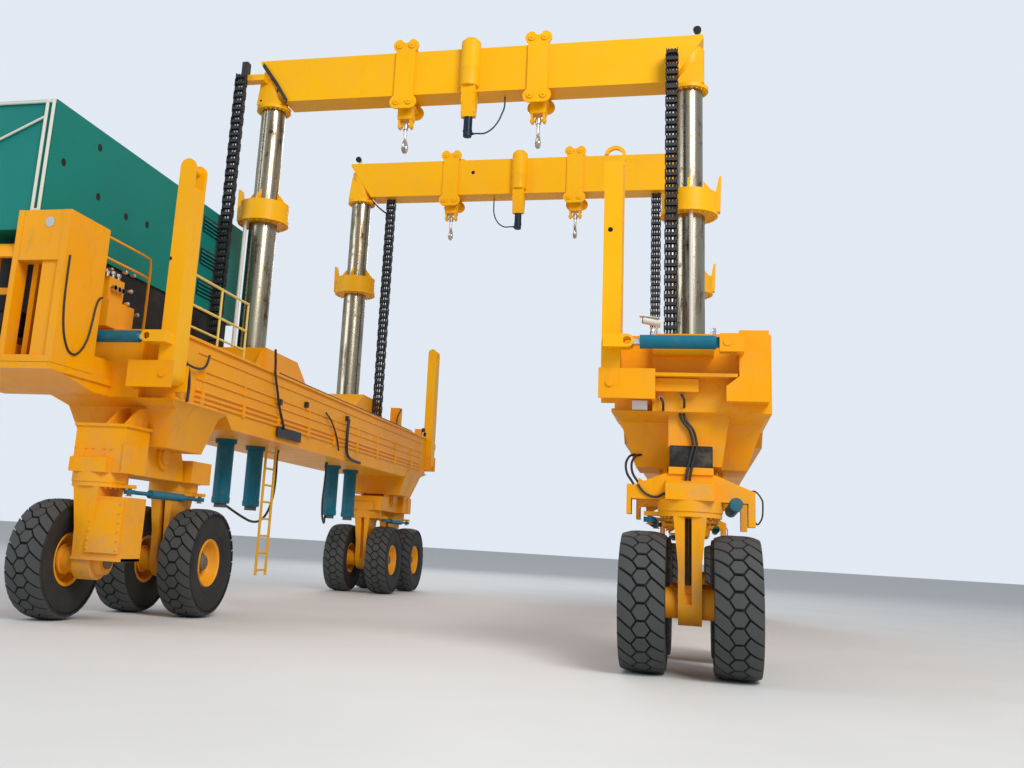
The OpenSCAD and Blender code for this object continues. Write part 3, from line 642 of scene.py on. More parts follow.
# %% [markdown]
# ## Dressing the solids
#
# Each solid keeps its own mesh and gets one finish. Where a solid holds two looks, such as the
# lower stages with their pale measuring rods, the finish itself tells them apart by place. The
# solids that other pieces stand in for later aren't shown, and they stay plain yellow.

# %% Materials on the solids
def dress(obj, material):
    """Puts one material in every slot of a solid."""
    if not obj.material_slots:
        obj.data.materials.append(material)
    for slot in obj.material_slots:
        slot.material = material


# tank_base is painted black: painted shade for the dark gap under the enclosure.
FINISHES = [("power_pack", TEAL), ("lift_cylinders", BLUE), ("arm_cylinder", BLUE), ("steer_link", BLUE),
            ("upper_stages", STEEL), ("lower_stages", STEEL), ("arm_rod", ROD), ("tank_base", BLACK),
            ("engine_block", BLACK), ("walkways", RAIL_PAINT), ("tie_arm", ARM_YELLOW),
            ("collars", BEAM_YELLOW)]
for name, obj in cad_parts.items():
    dress(obj, next((m for start, m in FINISHES if name.startswith(start)), YELLOW))
print("dressed", len(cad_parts), "solids")


# %% [markdown]
# ## Welded plate
#
# Most of the machine is welded from plate, so a few shapes go a long way: a box, a plate with
# an outline, and a round bar. Each piece is drawn once, for the right far corner, in metres
# from the machine's middle, and then mirrored to every corner that carries it.

# %% Plates and bars
def plate(bag, outline, near, far, across="Y"):
    """A plate whose outline is in (x, z) across Y, in (y, z) across X, or in (x, y) across Z."""
    outline = np.asarray(outline, float)
    prism(bag, outline[:, ::-1] if across == "Y" else outline, near, far, across)


def bar(bag, start, end, radius, sides=32):
    """A round bar from one point to another."""
    tube(bag, [start, end], radius, sides)


def arc(middle, radius, start, end, count=24):
    """Points on part of a circle, by angles in degrees from the first axis towards the second."""
    a = np.radians(np.linspace(start, end, count))
    return np.column_stack([middle[0] + radius * np.cos(a), middle[1] + radius * np.sin(a)])


def bolts(bag, middle, ring, count, axis, way, radius, height, keep=None):
    """A circle of bolts about an axis. keep says which places on the circle get one."""
    for k in range(count):
        a = 2.0 * math.pi * (k + 0.5) / count
        u, v = ring * math.cos(a), ring * math.sin(a)
        if keep is None or keep(u, v):
            seat = turned([u, v, 0.0], axis) + np.asarray(middle)
            bolt(bag, seat, axis, way, radius, height)


def bolt(bag, seat, axis, way, radius, height):
    """A bolt: a washer and a six-sided head on it, standing along an axis from its seat."""
    washer = arc((0.0, 0.0), radius * 1.45, 0.0, 330.0, 12)
    head = arc((0.0, 0.0), radius, 0.0, 300.0, 6)
    for outline, low, high in ((washer, 0.0, 0.2 * height), (head, 0.2 * height, height)):
        p = np.stack([np.column_stack([outline * f, np.full(len(outline), way * h)])
                      for f, h in ((1.0, low), (1.0, high - 0.1 * height), (0.9, high))])
        bag.grid(turned(p, axis) + np.asarray(seat), close_v=True, caps=True)


# %% [markdown]
# ## Side frames
#
# Each frame is a box girder. Along its inner face run a flange, thin pipes in clamps and a
# cable. The right frame's ends carry a heavy outer block and two plates under the cylinder that
# swings the tie arm.

# %% Frame ends, flange and pipes
ends, sides, blocks = Bag(), Bag(), Bag()
cheek = [(4.54, 4.03), (4.88, 4.03), (4.88, 3.17), (4.39, 3.17), (4.39, 3.35), (4.54, 3.47)]
plate(ends, cheek, FRAME_END, 7.60)
block(ends, (3.53, FRAME_END, 3.74), (4.25, 7.56, 3.79))
block(ends, (3.53, FRAME_END, 3.29), (4.07, 7.48, 3.45))
block(sides, (3.01, -5.84, 3.99), (3.055, 7.10, 4.03))
for z, r in ((3.30, 0.024), (3.22, 0.024), (3.14, 0.024), (3.46, 0.013), (3.60, 0.013), (3.84, 0.010)):
    bar(sides, (3.040, -6.6, z), (3.040, 6.6, z), r, 10)
for y in np.arange(-6.4, 6.5, 1.5):
    block(sides, (3.005, y, 3.095), (3.055, y + 0.06, 3.345))
    block(sides, (3.020, y + 0.02, 3.44), (3.055, y + 0.05, 3.62))
for way in (-1, 1):
    for x in (3.35, 4.50):
        wedge = [(way * 3.595, 4.44), (way * 3.92, DECK), (way * 3.595, DECK)]
        plate(sides, wedge, x - 0.03, x + 0.03, "X")
block(blocks, (-3.30, 4.42, DECK), (-3.05, 4.60, 4.49))
block(blocks, (-3.24, 6.62, DECK), (-3.06, 6.80, 4.22))
frames = assembled([(blocks, HERE), (ends, RIGHT_ENDS), (sides, BOTH_SIDES)], "frame_ends_and_pipes",
                   YELLOW, "chassis")
print("frame pieces", len(frames.data.polygons), "faces")


# %% [markdown]
# ## Bogies
#
# A tapered leg stands on a trunnion in the middle of an equaliser beam, so that both axles keep
# their load on rough ground. Under the right frame each slewing ring has a pair of wings that
# carry the steering cylinder. Under the left one it has a plain box column.

# %% Bogie frames
def loft(bag, levels):
    """Joins rectangles, each given as (z, x low, x high, y low, y high), one above the other."""
    rings = [[(x0, y0, z), (x1, y0, z), (x1, y1, z), (x0, y1, z)] for z, x0, x1, y0, y1 in levels]
    bag.grid(np.array(rings, float), close_v=True, caps=True)


def equaliser(bag):
    """The tapered leg, the equaliser beam with its half-round plates, and the slewing rings."""
    x, y, h = BOGIE_X, BOGIE_Y, HALF_PITCH
    loft(bag, [(3.062, x - 0.950, x + 0.950, y - 0.75, y + 1.10),
               (2.960, x - 0.860, x + 0.860, y - 0.64, y + 0.76),
               (2.420, x - 0.675, x + 0.675, y - 0.56, y + 0.56)])
    end, slope = h + 0.38, h - 0.30
    arm = [(-end, 1.99), (end, 1.99), (end, 2.18), (slope, 2.33), (0.30, 2.44), (-0.30, 2.44),
           (-slope, 2.33), (-end, 2.18)]
    plate(bag, [(y + dy, z) for dy, z in arm], x - 0.28, x + 0.28, "X")
    for side in (-1, 1):
        edge = x + side * 0.305
        plate(bag, arc((y, 2.0), 0.72, 0.0, 180.0, 49), edge - 0.025, edge + 0.025, "X")
        # The trunnion's cap and its bolts.
        bar(bag, (x, y, 2.33), (x + side * 0.40, y, 2.33), 0.12)
        bar(bag, (x + side * 0.33, y, 2.33), (x + side * 0.375, y, 2.33), 0.19)
        bolts(bag, (x + side * 0.375, y, 2.33), 0.155, 10, "X", side, 0.013, 0.016)
    for way in (-1, 1):
        bar(bag, (x, y + way * h, 1.86), (x, y + way * h, 2.00), 0.38, 56)
        for side in (-1, 1):
            # Stiffeners between the beam and the ring.
            plate(bag, [(x + side * 0.275, 2.15), (x + side * 0.37, 2.0), (x + side * 0.275, 2.0)],
                  y + way * h - 0.02, y + way * h + 0.02)


def wings(bag):
    """The wings, the plates that hang from their ends, the sleeve of the steering cylinder, the
    front plate with its strip, and the rubber bump block."""
    x, y, h = BOGIE_X, BOGIE_Y, HALF_PITCH
    for at in (y - h, y + h):
        wing = [(-0.30, 2.30), (0.30, 2.30), (0.74, 2.12), (0.74, 1.99), (-0.74, 1.99), (-0.74, 2.12)]
        plate(bag, [(x + dx, z) for dx, z in wing], at - 0.15, at + 0.15)
        block(bag, (x + 0.66, at - 0.151, 1.72), (x + 0.741, at + 0.151, 2.121))
        block(bag, (x - 0.741, at - 0.151, 1.81), (x - 0.69, at + 0.151, 2.16))
        plate(bag, [(x - 0.61, 2.25), (x - 0.31, 2.06), (x - 0.61, 1.87)], at - 0.03, at + 0.03)
    bar(bag, (x + 0.525, y - 0.90, 1.97), (x + 0.525, y + 1.23, 1.97), 0.075)
    for at in (y - 0.80, y + 1.13):
        block(bag, (x + 0.485, at - 0.03, 1.90), (x + 0.565, at + 0.03, 2.06))
    block(bag, (x - 0.26, y + 0.50, 2.64), (x + 0.25, y + 1.01, 3.062))
    rib = [(x + 0.24, 3.062), (x + 0.47, 3.062), (x + 0.37, 2.42), (x + 0.24, 2.42)]
    plate(bag, rib, y + 0.51, y + 1.012)
    block(bag, (x - 0.25, y + 0.60, 2.299), (x + 0.27, y + 1.25, 2.38))
    block(bag, (x - 0.24, y + 0.64, 2.379), (x + 0.26, y + 1.235, 2.641))


def box_columns(bag):
    """A box over each slewing ring, the outer one taller, with a lid, gussets and a side plate."""
    x, near, far = BOGIE_X, BOGIE_Y - HALF_PITCH, BOGIE_Y + HALF_PITCH
    block(bag, (x - 0.46, near - 0.33, 1.995), (x + 0.31, near + 0.33, 2.33))
    block(bag, (x - 0.46, far - 0.40, 1.995), (x + 0.31, far + 0.25, 2.62))
    block(bag, (x - 0.49, far - 0.42, 2.619), (x + 0.34, far + 0.27, 2.66))
    block(bag, (x - 0.49, far - 0.06, 1.997), (x - 0.455, far + 0.275, 2.40))
    for at in (x - 0.40, x - 0.12):
        gusset = [(far - 0.38, 2.655), (far + 0.22, 2.655), (far - 0.10, 2.90), (far - 0.38, 2.96)]
        plate(bag, gusset, at - 0.02, at + 0.02, "X")
    for at in (x - 0.36, x - 0.08, x + 0.20):
        bolts(bag, (at, far + 0.25, 2.32), 0.09, 2, "Y", 1, 0.015, 0.02)


core, right, left = Bag(), Bag(), Bag()
equaliser(core)
wings(right)
box_columns(left)
bogies = assembled([(core, EVERY), (right, RIGHT_ENDS), (left, LEFT_ENDS)], "bogies", BOGIE_YELLOW, "chassis")
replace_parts(bogies, "bogie_frames")
print("bogies", len(bogies.data.polygons), "faces")


# %% [markdown]
# ## Steered legs
#
# Between each pair of tyres stands a narrow leg that turns under its slewing ring. It tapers to
# the axle's housing and has a groove down its faces for hoses. The near left outer leg is a
# wide box instead, because its inner tyre is missing and the box fills that place.

# %% Legs
def sleeve(bag, near, far, outer, inner):
    """A short tube with walls round the axle, between two places along X."""
    revolved(bag, [(outer, near), (outer, far), (inner, far), (inner, near)], (0.0, 0.0, AXLE_Z), "X", 40)


def leg(bag, wide):
    """One leg, drawn about the slewing axis at x = 0 and y = 0, with outwards as +x."""
    bar(bag, (0, 0, LEG_TOP - 0.06), (0, 0, LEG_TOP), 0.37, 56)
    bolts(bag, (0, 0, LEG_TOP - 0.06), 0.335, 28, "Z", -1, 0.015, 0.022, keep=lambda u, v: abs(u) > 0.23)
    # Two cheeks and a web between them leave the groove. They taper in both directions.
    for u0, u1, cut in ((-0.190, -0.060, 0.0), (-0.060, 0.020, 0.0 if wide else 0.135), (0.020, 0.190, 0.0)):
        rings = []
        for z, y, share in ((LEG_TOP - 0.059, 0.340, 1.0), (1.250, 0.285, 0.71), (AXLE_Z, 0.250, 0.71)):
            half = y - cut
            a = u0 * share if u0 < -0.1 else u0
            b = u1 * share if u1 > 0.1 else u1
            rings.append([(a, -half, z), (b, -half, z), (b, half, z), (a, half, z)])
        bag.grid(np.array(rings), close_v=True, caps=True)
    plate(bag, arc((0.0, AXLE_Z), 0.25, 180.0, 360.0, 33), -0.135, 0.135, "X")
    sleeve(bag, -0.255 if wide else -0.40, 0.40, 0.175, 0.097)
    for side in (1,) if wide else (-1, 1):
        sleeve(bag, side * 0.385 - 0.016, side * 0.385 + 0.016, 0.205, 0.170)
        bolts(bag, (side * 0.401, 0, AXLE_Z), 0.188, 12, "X", side, 0.010, 0.012)
    # The arm that the steering link turns, and its pin.
    block(bag, (-0.54, -0.06, LEG_TOP - 0.059), (-0.10, 0.06, LEG_TOP - 0.010))
    bar(bag, (-0.47, 0, LEG_TOP - 0.15), (-0.47, 0, LEG_TOP - 0.011), 0.030, 20)
    bar(bag, (-0.47, 0, LEG_TOP - 0.162), (-0.47, 0, LEG_TOP - 0.150), 0.045, 20)
    if wide:
        block(bag, (-0.61, -0.24, AXLE_Z + 0.02), (0.13, 0.255, 1.6745))
        block(bag, (-0.56, 0.25, AXLE_Z + 0.12), (-0.06, 0.285, 1.6295))
        block(bag, (-0.61, -0.25, AXLE_Z + 0.019), (0.13, 0.29, AXLE_Z + 0.06))
        for u in (-0.53, -0.09):
            for z in np.linspace(AXLE_Z + 0.17, 1.58, 6):
                bolt(bag, (u, 0.285, z), "Y", 1, 0.014, 0.018)


for unit, sx, sy, reach in UNITS:
    drawn = Bag()
    leg(drawn, unit == SINGLE)
    drawn.verts = [v + [BOGIE_X, reach, 0.0] for v in drawn.verts]
    piece = assembled([(drawn, [(sx, sy)])], "leg_" + unit, BOGIE_YELLOW, "steer_" + unit)
    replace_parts(piece, "steer_leg_" + unit)
print("legs, the last of", len(piece.data.polygons), "faces")


# %% [markdown]
# ## Pump bay
#
# At the near end of the left frame a floor carries the hydraulic pumps. A tall box with an open
# front stands beside a low one and a valve block, and a curved hood on posts covers the rest.

# %% Pump bay
BAY_FLOOR, BAY_IN, BAY_OUT, BAY_END = 3.290, -3.950, -5.700, -8.85


def pump_bay(bag):
    """The floor with its keel, the boxes and walls on it, the valve block's body, the rail and
    the hood."""
    block(bag, (BAY_OUT, BAY_END, 3.20), (BAY_IN, -7.35, BAY_FLOOR))
    keel = [(-8.55, 3.201), (-7.35, 3.201), (-7.35, 3.06), (-7.75, 3.06)]
    plate(bag, keel, BAY_OUT + 0.03, BAY_IN - 0.03, "X")
    # Solids stand a little into the floor. The tall box has walls round its opening.
    foot = BAY_FLOOR - 0.005
    walls = [((-4.75, BAY_END, foot), (-4.67, -8.61, 5.34)), ((-4.06, BAY_END, foot), (BAY_IN, -7.88, 5.34)),
             ((-4.671, BAY_END + 0.008, 4.65), (-4.059, -8.61, 5.34)),
             ((-4.671, BAY_END, foot), (-4.059, -8.10, 3.38)),
             ((-4.58, -8.612, 4.65), (-4.059, -7.88, 5.339)), ((-4.58, -8.612, foot), (-4.50, -7.88, 4.651)),
             ((-4.501, -8.10, foot), (-4.059, -7.88, 4.651)), ((-4.31, -8.81, 3.379), (-4.07, -8.69, 4.651))]
    # The low box, and the two steps of the valve block on the deck.
    boxes = [((-4.65, -7.881, foot), (-3.98, -7.35, 3.55)), ((-4.33, -7.60, 4.03), (-4.01, -6.90, 4.42)),
             ((-4.28, -7.56, 4.419), (-4.07, -7.15, 4.76))]
    # The hood's posts and rail, the post at the deck, and the pump's foot.
    posts = [((x, -8.57, foot), (x + 0.11, -8.45, 4.911)) for x in (BAY_OUT, -5.33)]
    posts += [((BAY_OUT, -8.12, foot), (BAY_OUT + 0.11, -8.00, 4.911)),
              ((BAY_OUT, -8.56, 4.25), (-4.749, -8.51, 4.34)),
              ((-5.68, -7.65, foot), (-5.48, -7.45, 4.03)), ((-5.25, -8.50, foot), (-4.83, -7.95, 3.70))]
    for low, high in walls + boxes + posts:
        block(bag, low, high)
    # The bent rail over the valve block.
    x = BAY_IN - 0.02
    for z in (4.95, 5.25):
        rail = [(x, -7.881, z), (x, -6.80, z), (x, -6.68, z - 0.04), (x, -6.65, z - 0.14)]
        tube(bag, spline(rail, 20), 0.018, 12)
    bar(bag, (x, -6.65, 4.03), (x, -6.65, 5.12), 0.021, 12)
    # The hood is one curved sheet, about 50 mm thick.
    curve = np.array([(BAY_END, 4.70), (-8.80, 4.82), (-8.72, 4.90), (-8.59, 4.95), (-8.35, 4.96),
                      (-8.00, 4.96)])
    inner = curve + [(0.045, -0.01), (0.05, -0.03), (0.04, -0.045), (0.01, -0.05), (0.0, -0.05), (0.0, -0.05)]
    plate(bag, np.vstack([curve, inner[::-1]]), BAY_OUT, -4.75, "X")


bay, works, shine = Bag(), Bag(), Bag()
pump_bay(bay)
# The pump's motor with its ribs, its end cover and a square block on that.
PUMP_X, PUMP_Z = -5.04, 3.89
spans = [(-8.38 + 0.05 * k, -8.36 + 0.05 * k, 0.215) for k in range(9)]
for y0, y1, radius in (*spans, (-8.42, -7.92, 0.195), (-8.52, -8.42, 0.120)):
    bar(works, (PUMP_X, y0, PUMP_Z), (PUMP_X, y1, PUMP_Z), radius)
block(works, (PUMP_X - 0.09, -8.60, PUMP_Z - 0.09), (PUMP_X + 0.09, -8.50, PUMP_Z + 0.09))
# The valve block's ports, on its inner side and on its top, and the lamp in the tall box.
for y in (-7.50, -7.39, -7.28):
    bar(shine, (-4.071, y, 4.60), (-3.99, y, 4.60), 0.036, 20)
    bar(shine, (-4.02, y, 4.60), (-3.99, y, 4.60), 0.044, 6)
for y in (-7.48, -7.33, -7.18):
    bar(shine, (-4.17, y, 4.755), (-4.17, y, 4.86), 0.032, 20)
    bar(shine, (-4.17, y, 4.84), (-4.17, y, 4.88), 0.042, 6)
bar(shine, (-4.26, BAY_END, 5.17), (-4.26, BAY_END + 0.012, 5.17), 0.070, 32)
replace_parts(assembled([(bay, HERE)], "pump_bay_body", BAY_YELLOW, "chassis"), "pump_bay")
assembled([(works, HERE)], "pump_and_motor", BLACK, "chassis", "black_paint")
assembled([(shine, HERE)], "valve_fittings", HOOK, "chassis", "chromed_steel")
print("pump bay", len(bay.faces), "faces")


# %% [markdown]
# ## Enclosure and walkways
#
# The power pack's enclosure is sheet steel with banks of louvres, door seams, hinges and
# handles. Pale posts stand at its near end, and a third rail runs along the walkway.

# %% Louvres, doors, posts and rails
louvres, seams, posts = Bag(), Bag(), Bag()
for side, y, z in LOUVRES:
    way = 1.0 if side == PACK_IN else -0.5
    for k in range(4):
        low = z - 0.13 + 0.068 * k
        inside, outside = side - way * 0.002, side + way * 0.016
        slat = [(inside, low + 0.045), (outside, low), (outside, low + 0.014), (inside, low + 0.060)]
        plate(louvres, slat, y - 0.5, y + 0.5)
for y in (-7.4, -6.2, -5.0, -4.4, -2.4):
    block(seams, (PACK_OUT - 0.003, y - 0.008, 5.27), (PACK_OUT + 0.001, y + 0.008, 6.93))
for y in (-7.30, -6.10, -4.90):
    block(seams, (PACK_OUT - 0.006, y - 0.012, 6.05), (PACK_OUT + 0.001, y + 0.012, 6.20))
    for z in (5.50, 6.70):
        hinge = (PACK_OUT + 0.002, y + 1.02)
        bar(seams, (*hinge, z - 0.06), (*hinge, z + 0.06), 0.009, 10)
FRONT_Y = -8.6245
for x in (-4.630, -4.730):
    bar(posts, (x, FRONT_Y, 5.40), (x, FRONT_Y, 7.04), 0.024, 16)
for x0, z0, x1, z1, r in ((-6.08, 7.01, -4.61, 7.01, 0.021), (-4.74, 5.42, -4.61, 5.42, 0.021),
                          (-4.73, 6.79, -5.94, 6.23, 0.018)):
    bar(posts, (x0, FRONT_Y, z0), (x1, FRONT_Y, z1), r, 16)
bar(posts, (-3.11, -6.9, 4.19), (-3.11, -4.9, 4.19), 0.017, 12)
assembled([(louvres, HERE)], "louvres", TEAL, "chassis", "teal_paint")
assembled([(seams, HERE)], "door_seams", BLACK, "chassis", "black_paint")
assembled([(posts, HERE)], "posts_and_rail", RAIL_PAINT, "chassis")
print("louvres", len(louvres.faces), "faces")


# %% [markdown]
# ## Lifting beams
#
# A beam is a deep box that thins at its ends. A disc flange with gussets joins it to each
# column, and a round pod with a slanted box and a drum hangs at its middle. The near beam also
# holds the heads of two drag chains. A small work lamp stands on one end of each.

# %% Beams
def beam(bag, y):
    """A beam whose centre line is at y."""
    box = [(-4.17, BEAM_TOP), (4.17, BEAM_TOP), (4.17, 10.186), (3.61, BEAM_Z), (-3.61, BEAM_Z),
           (-4.17, 10.186)]
    plate(bag, box, y - BEAM_HALF, y + BEAM_HALF)
    for side in (-1, 1):
        x = side * COL_X
        bar(bag, (x, y, 9.27), (x, y, 9.34), 0.33, 56)
        bar(bag, (x, y, 9.339), (x, y, 10.05), 0.262, 40)
        bolts(bag, (x, y, 9.27), 0.285, 20, "Z", -1, 0.018, 0.028)
        bolts(bag, (x, y, 9.34), 0.298, 20, "Z", 1, 0.015, 0.022)
        for at in (y - 0.245, y + 0.245):
            gusset = [(x - 0.26, 9.339), (x + 0.26, 9.339), (x + side * 0.20, 9.90)]
            plate(bag, gusset, at - 0.021, at + 0.021)
    # The pod on the near face: a can with two seams and a cap, a slanted box and a drum.
    face = y - BEAM_HALF
    can = [(0.001, 9.45), (0.165, 9.45), (0.180, 9.465), (0.180, 9.80), (0.184, 9.81), (0.184, 9.83),
           (0.180, 9.84), (0.180, 10.31), (0.176, 10.336), (0.110, 10.406), (0.001, 10.406)]
    revolved(bag, can, (POD_X, face - 0.04, 0.0), "Z", 48)
    slanted = [(0.20, BEAM_Z), (-0.15, 9.53), (-0.15, 9.38), (-0.06, 8.88), (0.06, 8.88)]
    plate(bag, [(face + dy, z) for dy, z in slanted], POD_X - 0.13, POD_X + 0.13, "X")
    drum = [(0.001, 8.50), (0.070, 8.50), (0.080, 8.51), (0.080, 8.60), (0.088, 8.605), (0.088, 8.63),
            (0.080, 8.635), (0.080, 8.89), (0.001, 8.89)]
    revolved(bag, drum, (POD_X, face, 0.0), "Z", 32)
    for x in (POD_X - 0.115, POD_X + 0.115):
        for z in (8.96, 9.14, 9.32):
            bolt(bag, (x, face - 0.06 - 0.18 * (z - 8.88), z), "Y", -1, 0.012, 0.014)


def work_lamp(bag, x, y):
    """A short post with a small round lamp that looks to the near side."""
    bar(bag, (x, y, BEAM_TOP - 0.001), (x, y, 10.38), 0.020, 16)
    shade = [(0.001, -0.11), (0.070, -0.11), (0.072, -0.06), (0.058, 0.04), (0.030, 0.06), (0.001, 0.06)]
    revolved(bag, shade, (x, y, 10.43), "Y", 28)


for end, y, route, side in (("front", -COL_Y, POD_FRONT, 1), ("rear", COL_Y, POD_REAR, -1)):
    drawn = Bag()
    beam(drawn, y)
    work_lamp(drawn, side * LAMP_X, y)
    # The hose's port under the beam and the one in the drum.
    low, top = route[0], route[-1]
    bar(drawn, (*top[:2], 9.34), (*top[:2], BEAM_Z + 0.001), 0.026, 16)
    bar(drawn, (POD_X, *low[1:]), (low[0] + side * 0.03, *low[1:]), 0.026, 16)
    if end == "front":
        for x0, x1 in ((-4.52, -3.99), (3.55, 3.73)):
            block(drawn, (x0, -3.305, 9.76), (x1, -3.104, 9.88))
    piece = assembled([(drawn, HERE)], "lifting_beam_" + end, BEAM_YELLOW, "beam_" + end)
    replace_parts(piece, "beam_" + end)
print("beams, the last of", len(piece.data.polygons), "faces")


# %% [markdown]
# ## Hook sets
#
# A pair of plates clasps the beam, pinned above and below it, and slides along it to suit the
# load. From the lower pin hangs a block that tapers to a forged hook. A forging has no flat
# faces, so the hook is a round bar carried along an arc, thickest near the bottom of its bowl.

# %% Hook sets
EAR_UP, EAR_DOWN = BEAM_TOP + 0.125, BEAM_Z - 0.135
EARS = [(dx, z) for z in (EAR_UP, EAR_DOWN) for dx in (-0.12, 0.12)]


def clasp_plate(bag, x, near, far):
    """The clasp's plate: a wide middle with a rounded ear above and below it, and a dip on top."""
    right = arc((x + 0.12, EAR_UP), 0.125, -60, 90)
    left = arc((x - 0.12, EAR_UP), 0.125, 90, 240)
    dip = arc((x, EAR_UP + 0.135), 0.080, -20, -160, 13)
    lower = [arc((x - 0.12, EAR_DOWN), 0.135, 120, 270), arc((x + 0.12, EAR_DOWN), 0.135, 270, 420)]
    side = [(x - 0.185, EAR_UP - 0.110), (x - 0.185, EAR_DOWN + 0.13)]
    other = [(x + 0.185, EAR_DOWN + 0.13), (x + 0.185, EAR_UP - 0.110)]
    plate(bag, np.vstack([right, dip, left, side, *lower, other]), near, far)


def forged_hook(bag, x, y):
    """A shank and a bowl whose thickness follows a half wave along the arc and thins to its tip."""
    count, z, r = 46, 8.48, 0.105
    share = np.linspace(0.0, 1.0, count)
    thick = 0.030 + 0.014 * np.sin(math.pi * np.clip(share * 1.15, 0, 1))
    thick -= 0.022 * np.clip(share - 0.80, 0, 1) / 0.2
    bowl = np.column_stack([np.full(count, x), arc((y, z), r, 90, -205, count)])
    shank = np.column_stack([np.full(6, x), np.full(6, y), np.linspace(8.86, 8.62, 6)])
    tube(bag, np.vstack([shank, bowl[1:]]), np.concatenate([np.full(6, 0.032), thick[1:]]), 14)
    collar = [(0.001, 8.80), (0.050, 8.80), (0.055, 8.83), (0.055, 8.90), (0.040, 8.93), (0.001, 8.93)]
    revolved(bag, collar, (x, y, 0.0), "Z", 24)
    # The safety latch closes the throat.
    latch = [(y + 0.015, 8.60), (y + 0.03, 8.60), (y + 0.085, 8.50), (y + 0.07, 8.49)]
    plate(bag, latch, x - 0.018, x + 0.018, "X")


for end, y, places in (("front", -COL_Y, (-1.23, 1.27)), ("rear", COL_Y, (-1.64, 1.32))):
    clasps, hooks = Bag(), Bag()
    for x in places:
        for way in (-1, 1):
            clasp_plate(clasps, x, *sorted((y + way * (BEAM_HALF + 0.0005), y + way * 0.310)))
            cap = y + way * 0.337
            for dx, z in EARS:
                bar(clasps, (x + dx, y + way * 0.309, z), (x + dx, cap, z), 0.062, 24)
                bolt(clasps, (x + dx, cap, z), "Y", way, 0.022, 0.020)
        for dx, z in EARS:
            bar(clasps, (x + dx, y - 0.31, z), (x + dx, y + 0.31, z), 0.048, 20)
        block(clasps, (x - 0.14, y - 0.11, 8.98), (x + 0.14, y + 0.11, 9.27))
        for at in (x - 0.11, x + 0.11):
            taper = [(y - 0.10, 8.981), (y + 0.10, 8.981), (y + 0.055, 8.82), (y - 0.055, 8.82)]
            plate(clasps, taper, at - 0.02, at + 0.02, "X")
        bar(clasps, (x - 0.15, y, 8.87), (x + 0.15, y, 8.87), 0.028, 20)
        forged_hook(hooks, x, y)
    piece = assembled([(clasps, HERE)], "clasps_" + end, BEAM_YELLOW, "beam_" + end)
    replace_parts(piece, "hook_sets_" + end)
    assembled([(hooks, HERE)], "hooks_" + end, HOOK, "beam_" + end, "chromed_steel")
print("hook sets made")


# %% [markdown]
# ## Column trim
#
# Rings of bolts hold every flange, a bracket stands on the outer side of each collar, and the
# lift cylinders hang from flanged heads.

# %% Bolts, brackets and cylinder heads
COLLAR_LOW, COLLAR_TOP, BASE_TOP, HEAD_Z = 6.98, 7.38, 4.48, 2.80
for end, y in (("front", -COL_Y), ("rear", COL_Y)):
    drawn = Bag()
    for side in (-1, 1):
        x = side * COL_X
        bolts(drawn, (x, y, COLLAR_LOW), 0.425, 24, "Z", -1, 0.018, 0.028)
        bolts(drawn, (x, y, COLLAR_TOP), 0.345, 20, "Z", 1, 0.015, 0.024,
              keep=lambda u, v: min(abs(u), abs(v)) > 0.05)
        bracket = [(0.44, 7.05), (0.52, 7.05), (0.54, 7.68), (0.50, 7.68), (0.44, COLLAR_TOP)]
        plate(drawn, [(x + side * dx, z) for dx, z in bracket], y - 0.08, y + 0.08)
    assembled([(drawn, HERE)], "collar_trim_" + end, BEAM_YELLOW, "stage_" + end)
heads, ports, base = Bag(), Bag(), Bag()
for y in (COL_Y - 0.65, COL_Y + 0.65):
    head = [(0.152, HEAD_Z), (0.190, HEAD_Z), (0.190, UNDERSIDE), (0.152, UNDERSIDE)]
    revolved(heads, head, (COL_X, y, 0.0), "Z", 40)
    bolts(heads, (COL_X, y, HEAD_Z), 0.171, 12, "Z", -1, 0.011, 0.016)
    band = [(0.148, 1.775), (0.158, 1.780), (0.158, 1.86), (0.148, 1.865)]
    revolved(heads, band, (COL_X, y, 0.0), "Z", 40)
# The ports where the two hanging hoses start and end.
for route, way in ((LIFT_FRONT, -1), (LIFT_REAR, 1)):
    (x0, y0, _), (x1, y1, z1) = route[0], route[-1]
    bar(ports, (x0, y0, HEAD_Z), (x0, y0, UNDERSIDE), 0.034, 16)
    bar(ports, (x1, y1 - way * 0.03, z1), (x1, y1 + way * 0.02, z1), 0.034, 16)
bolts(base, (COL_X, COL_Y, BASE_TOP), 0.450, 24, "Z", 1, 0.016, 0.024)
assembled([(heads, EVERY), (ports, HERE)], "cylinder_heads", BLUE, "chassis", "teal_paint")
assembled([(base, EVERY)], "base_bolts", YELLOW, "chassis")
print("column trim made")


# %% [markdown]
# ## Lines, fittings and the camera
#
# Hoses, cables and pipes are clipped to the steel along most of the machine. They follow short
# lists of points in one plane, joined by a smooth curve. The fittings at their ends are turned
# from round and six-sided bar. A small white camera looks across the lane from the right frame.

# %% Clipped lines
def line(bag, points, radius, plane, at, sides=10):
    """A clipped line. Its points are (y, z) in a plane across X, or (x, z) in one across Y."""
    route = [(at, u, v) if plane == "X" else (u, at, v) for u, v in points]
    tube(bag, spline(route, 8 * len(route)), radius, sides)


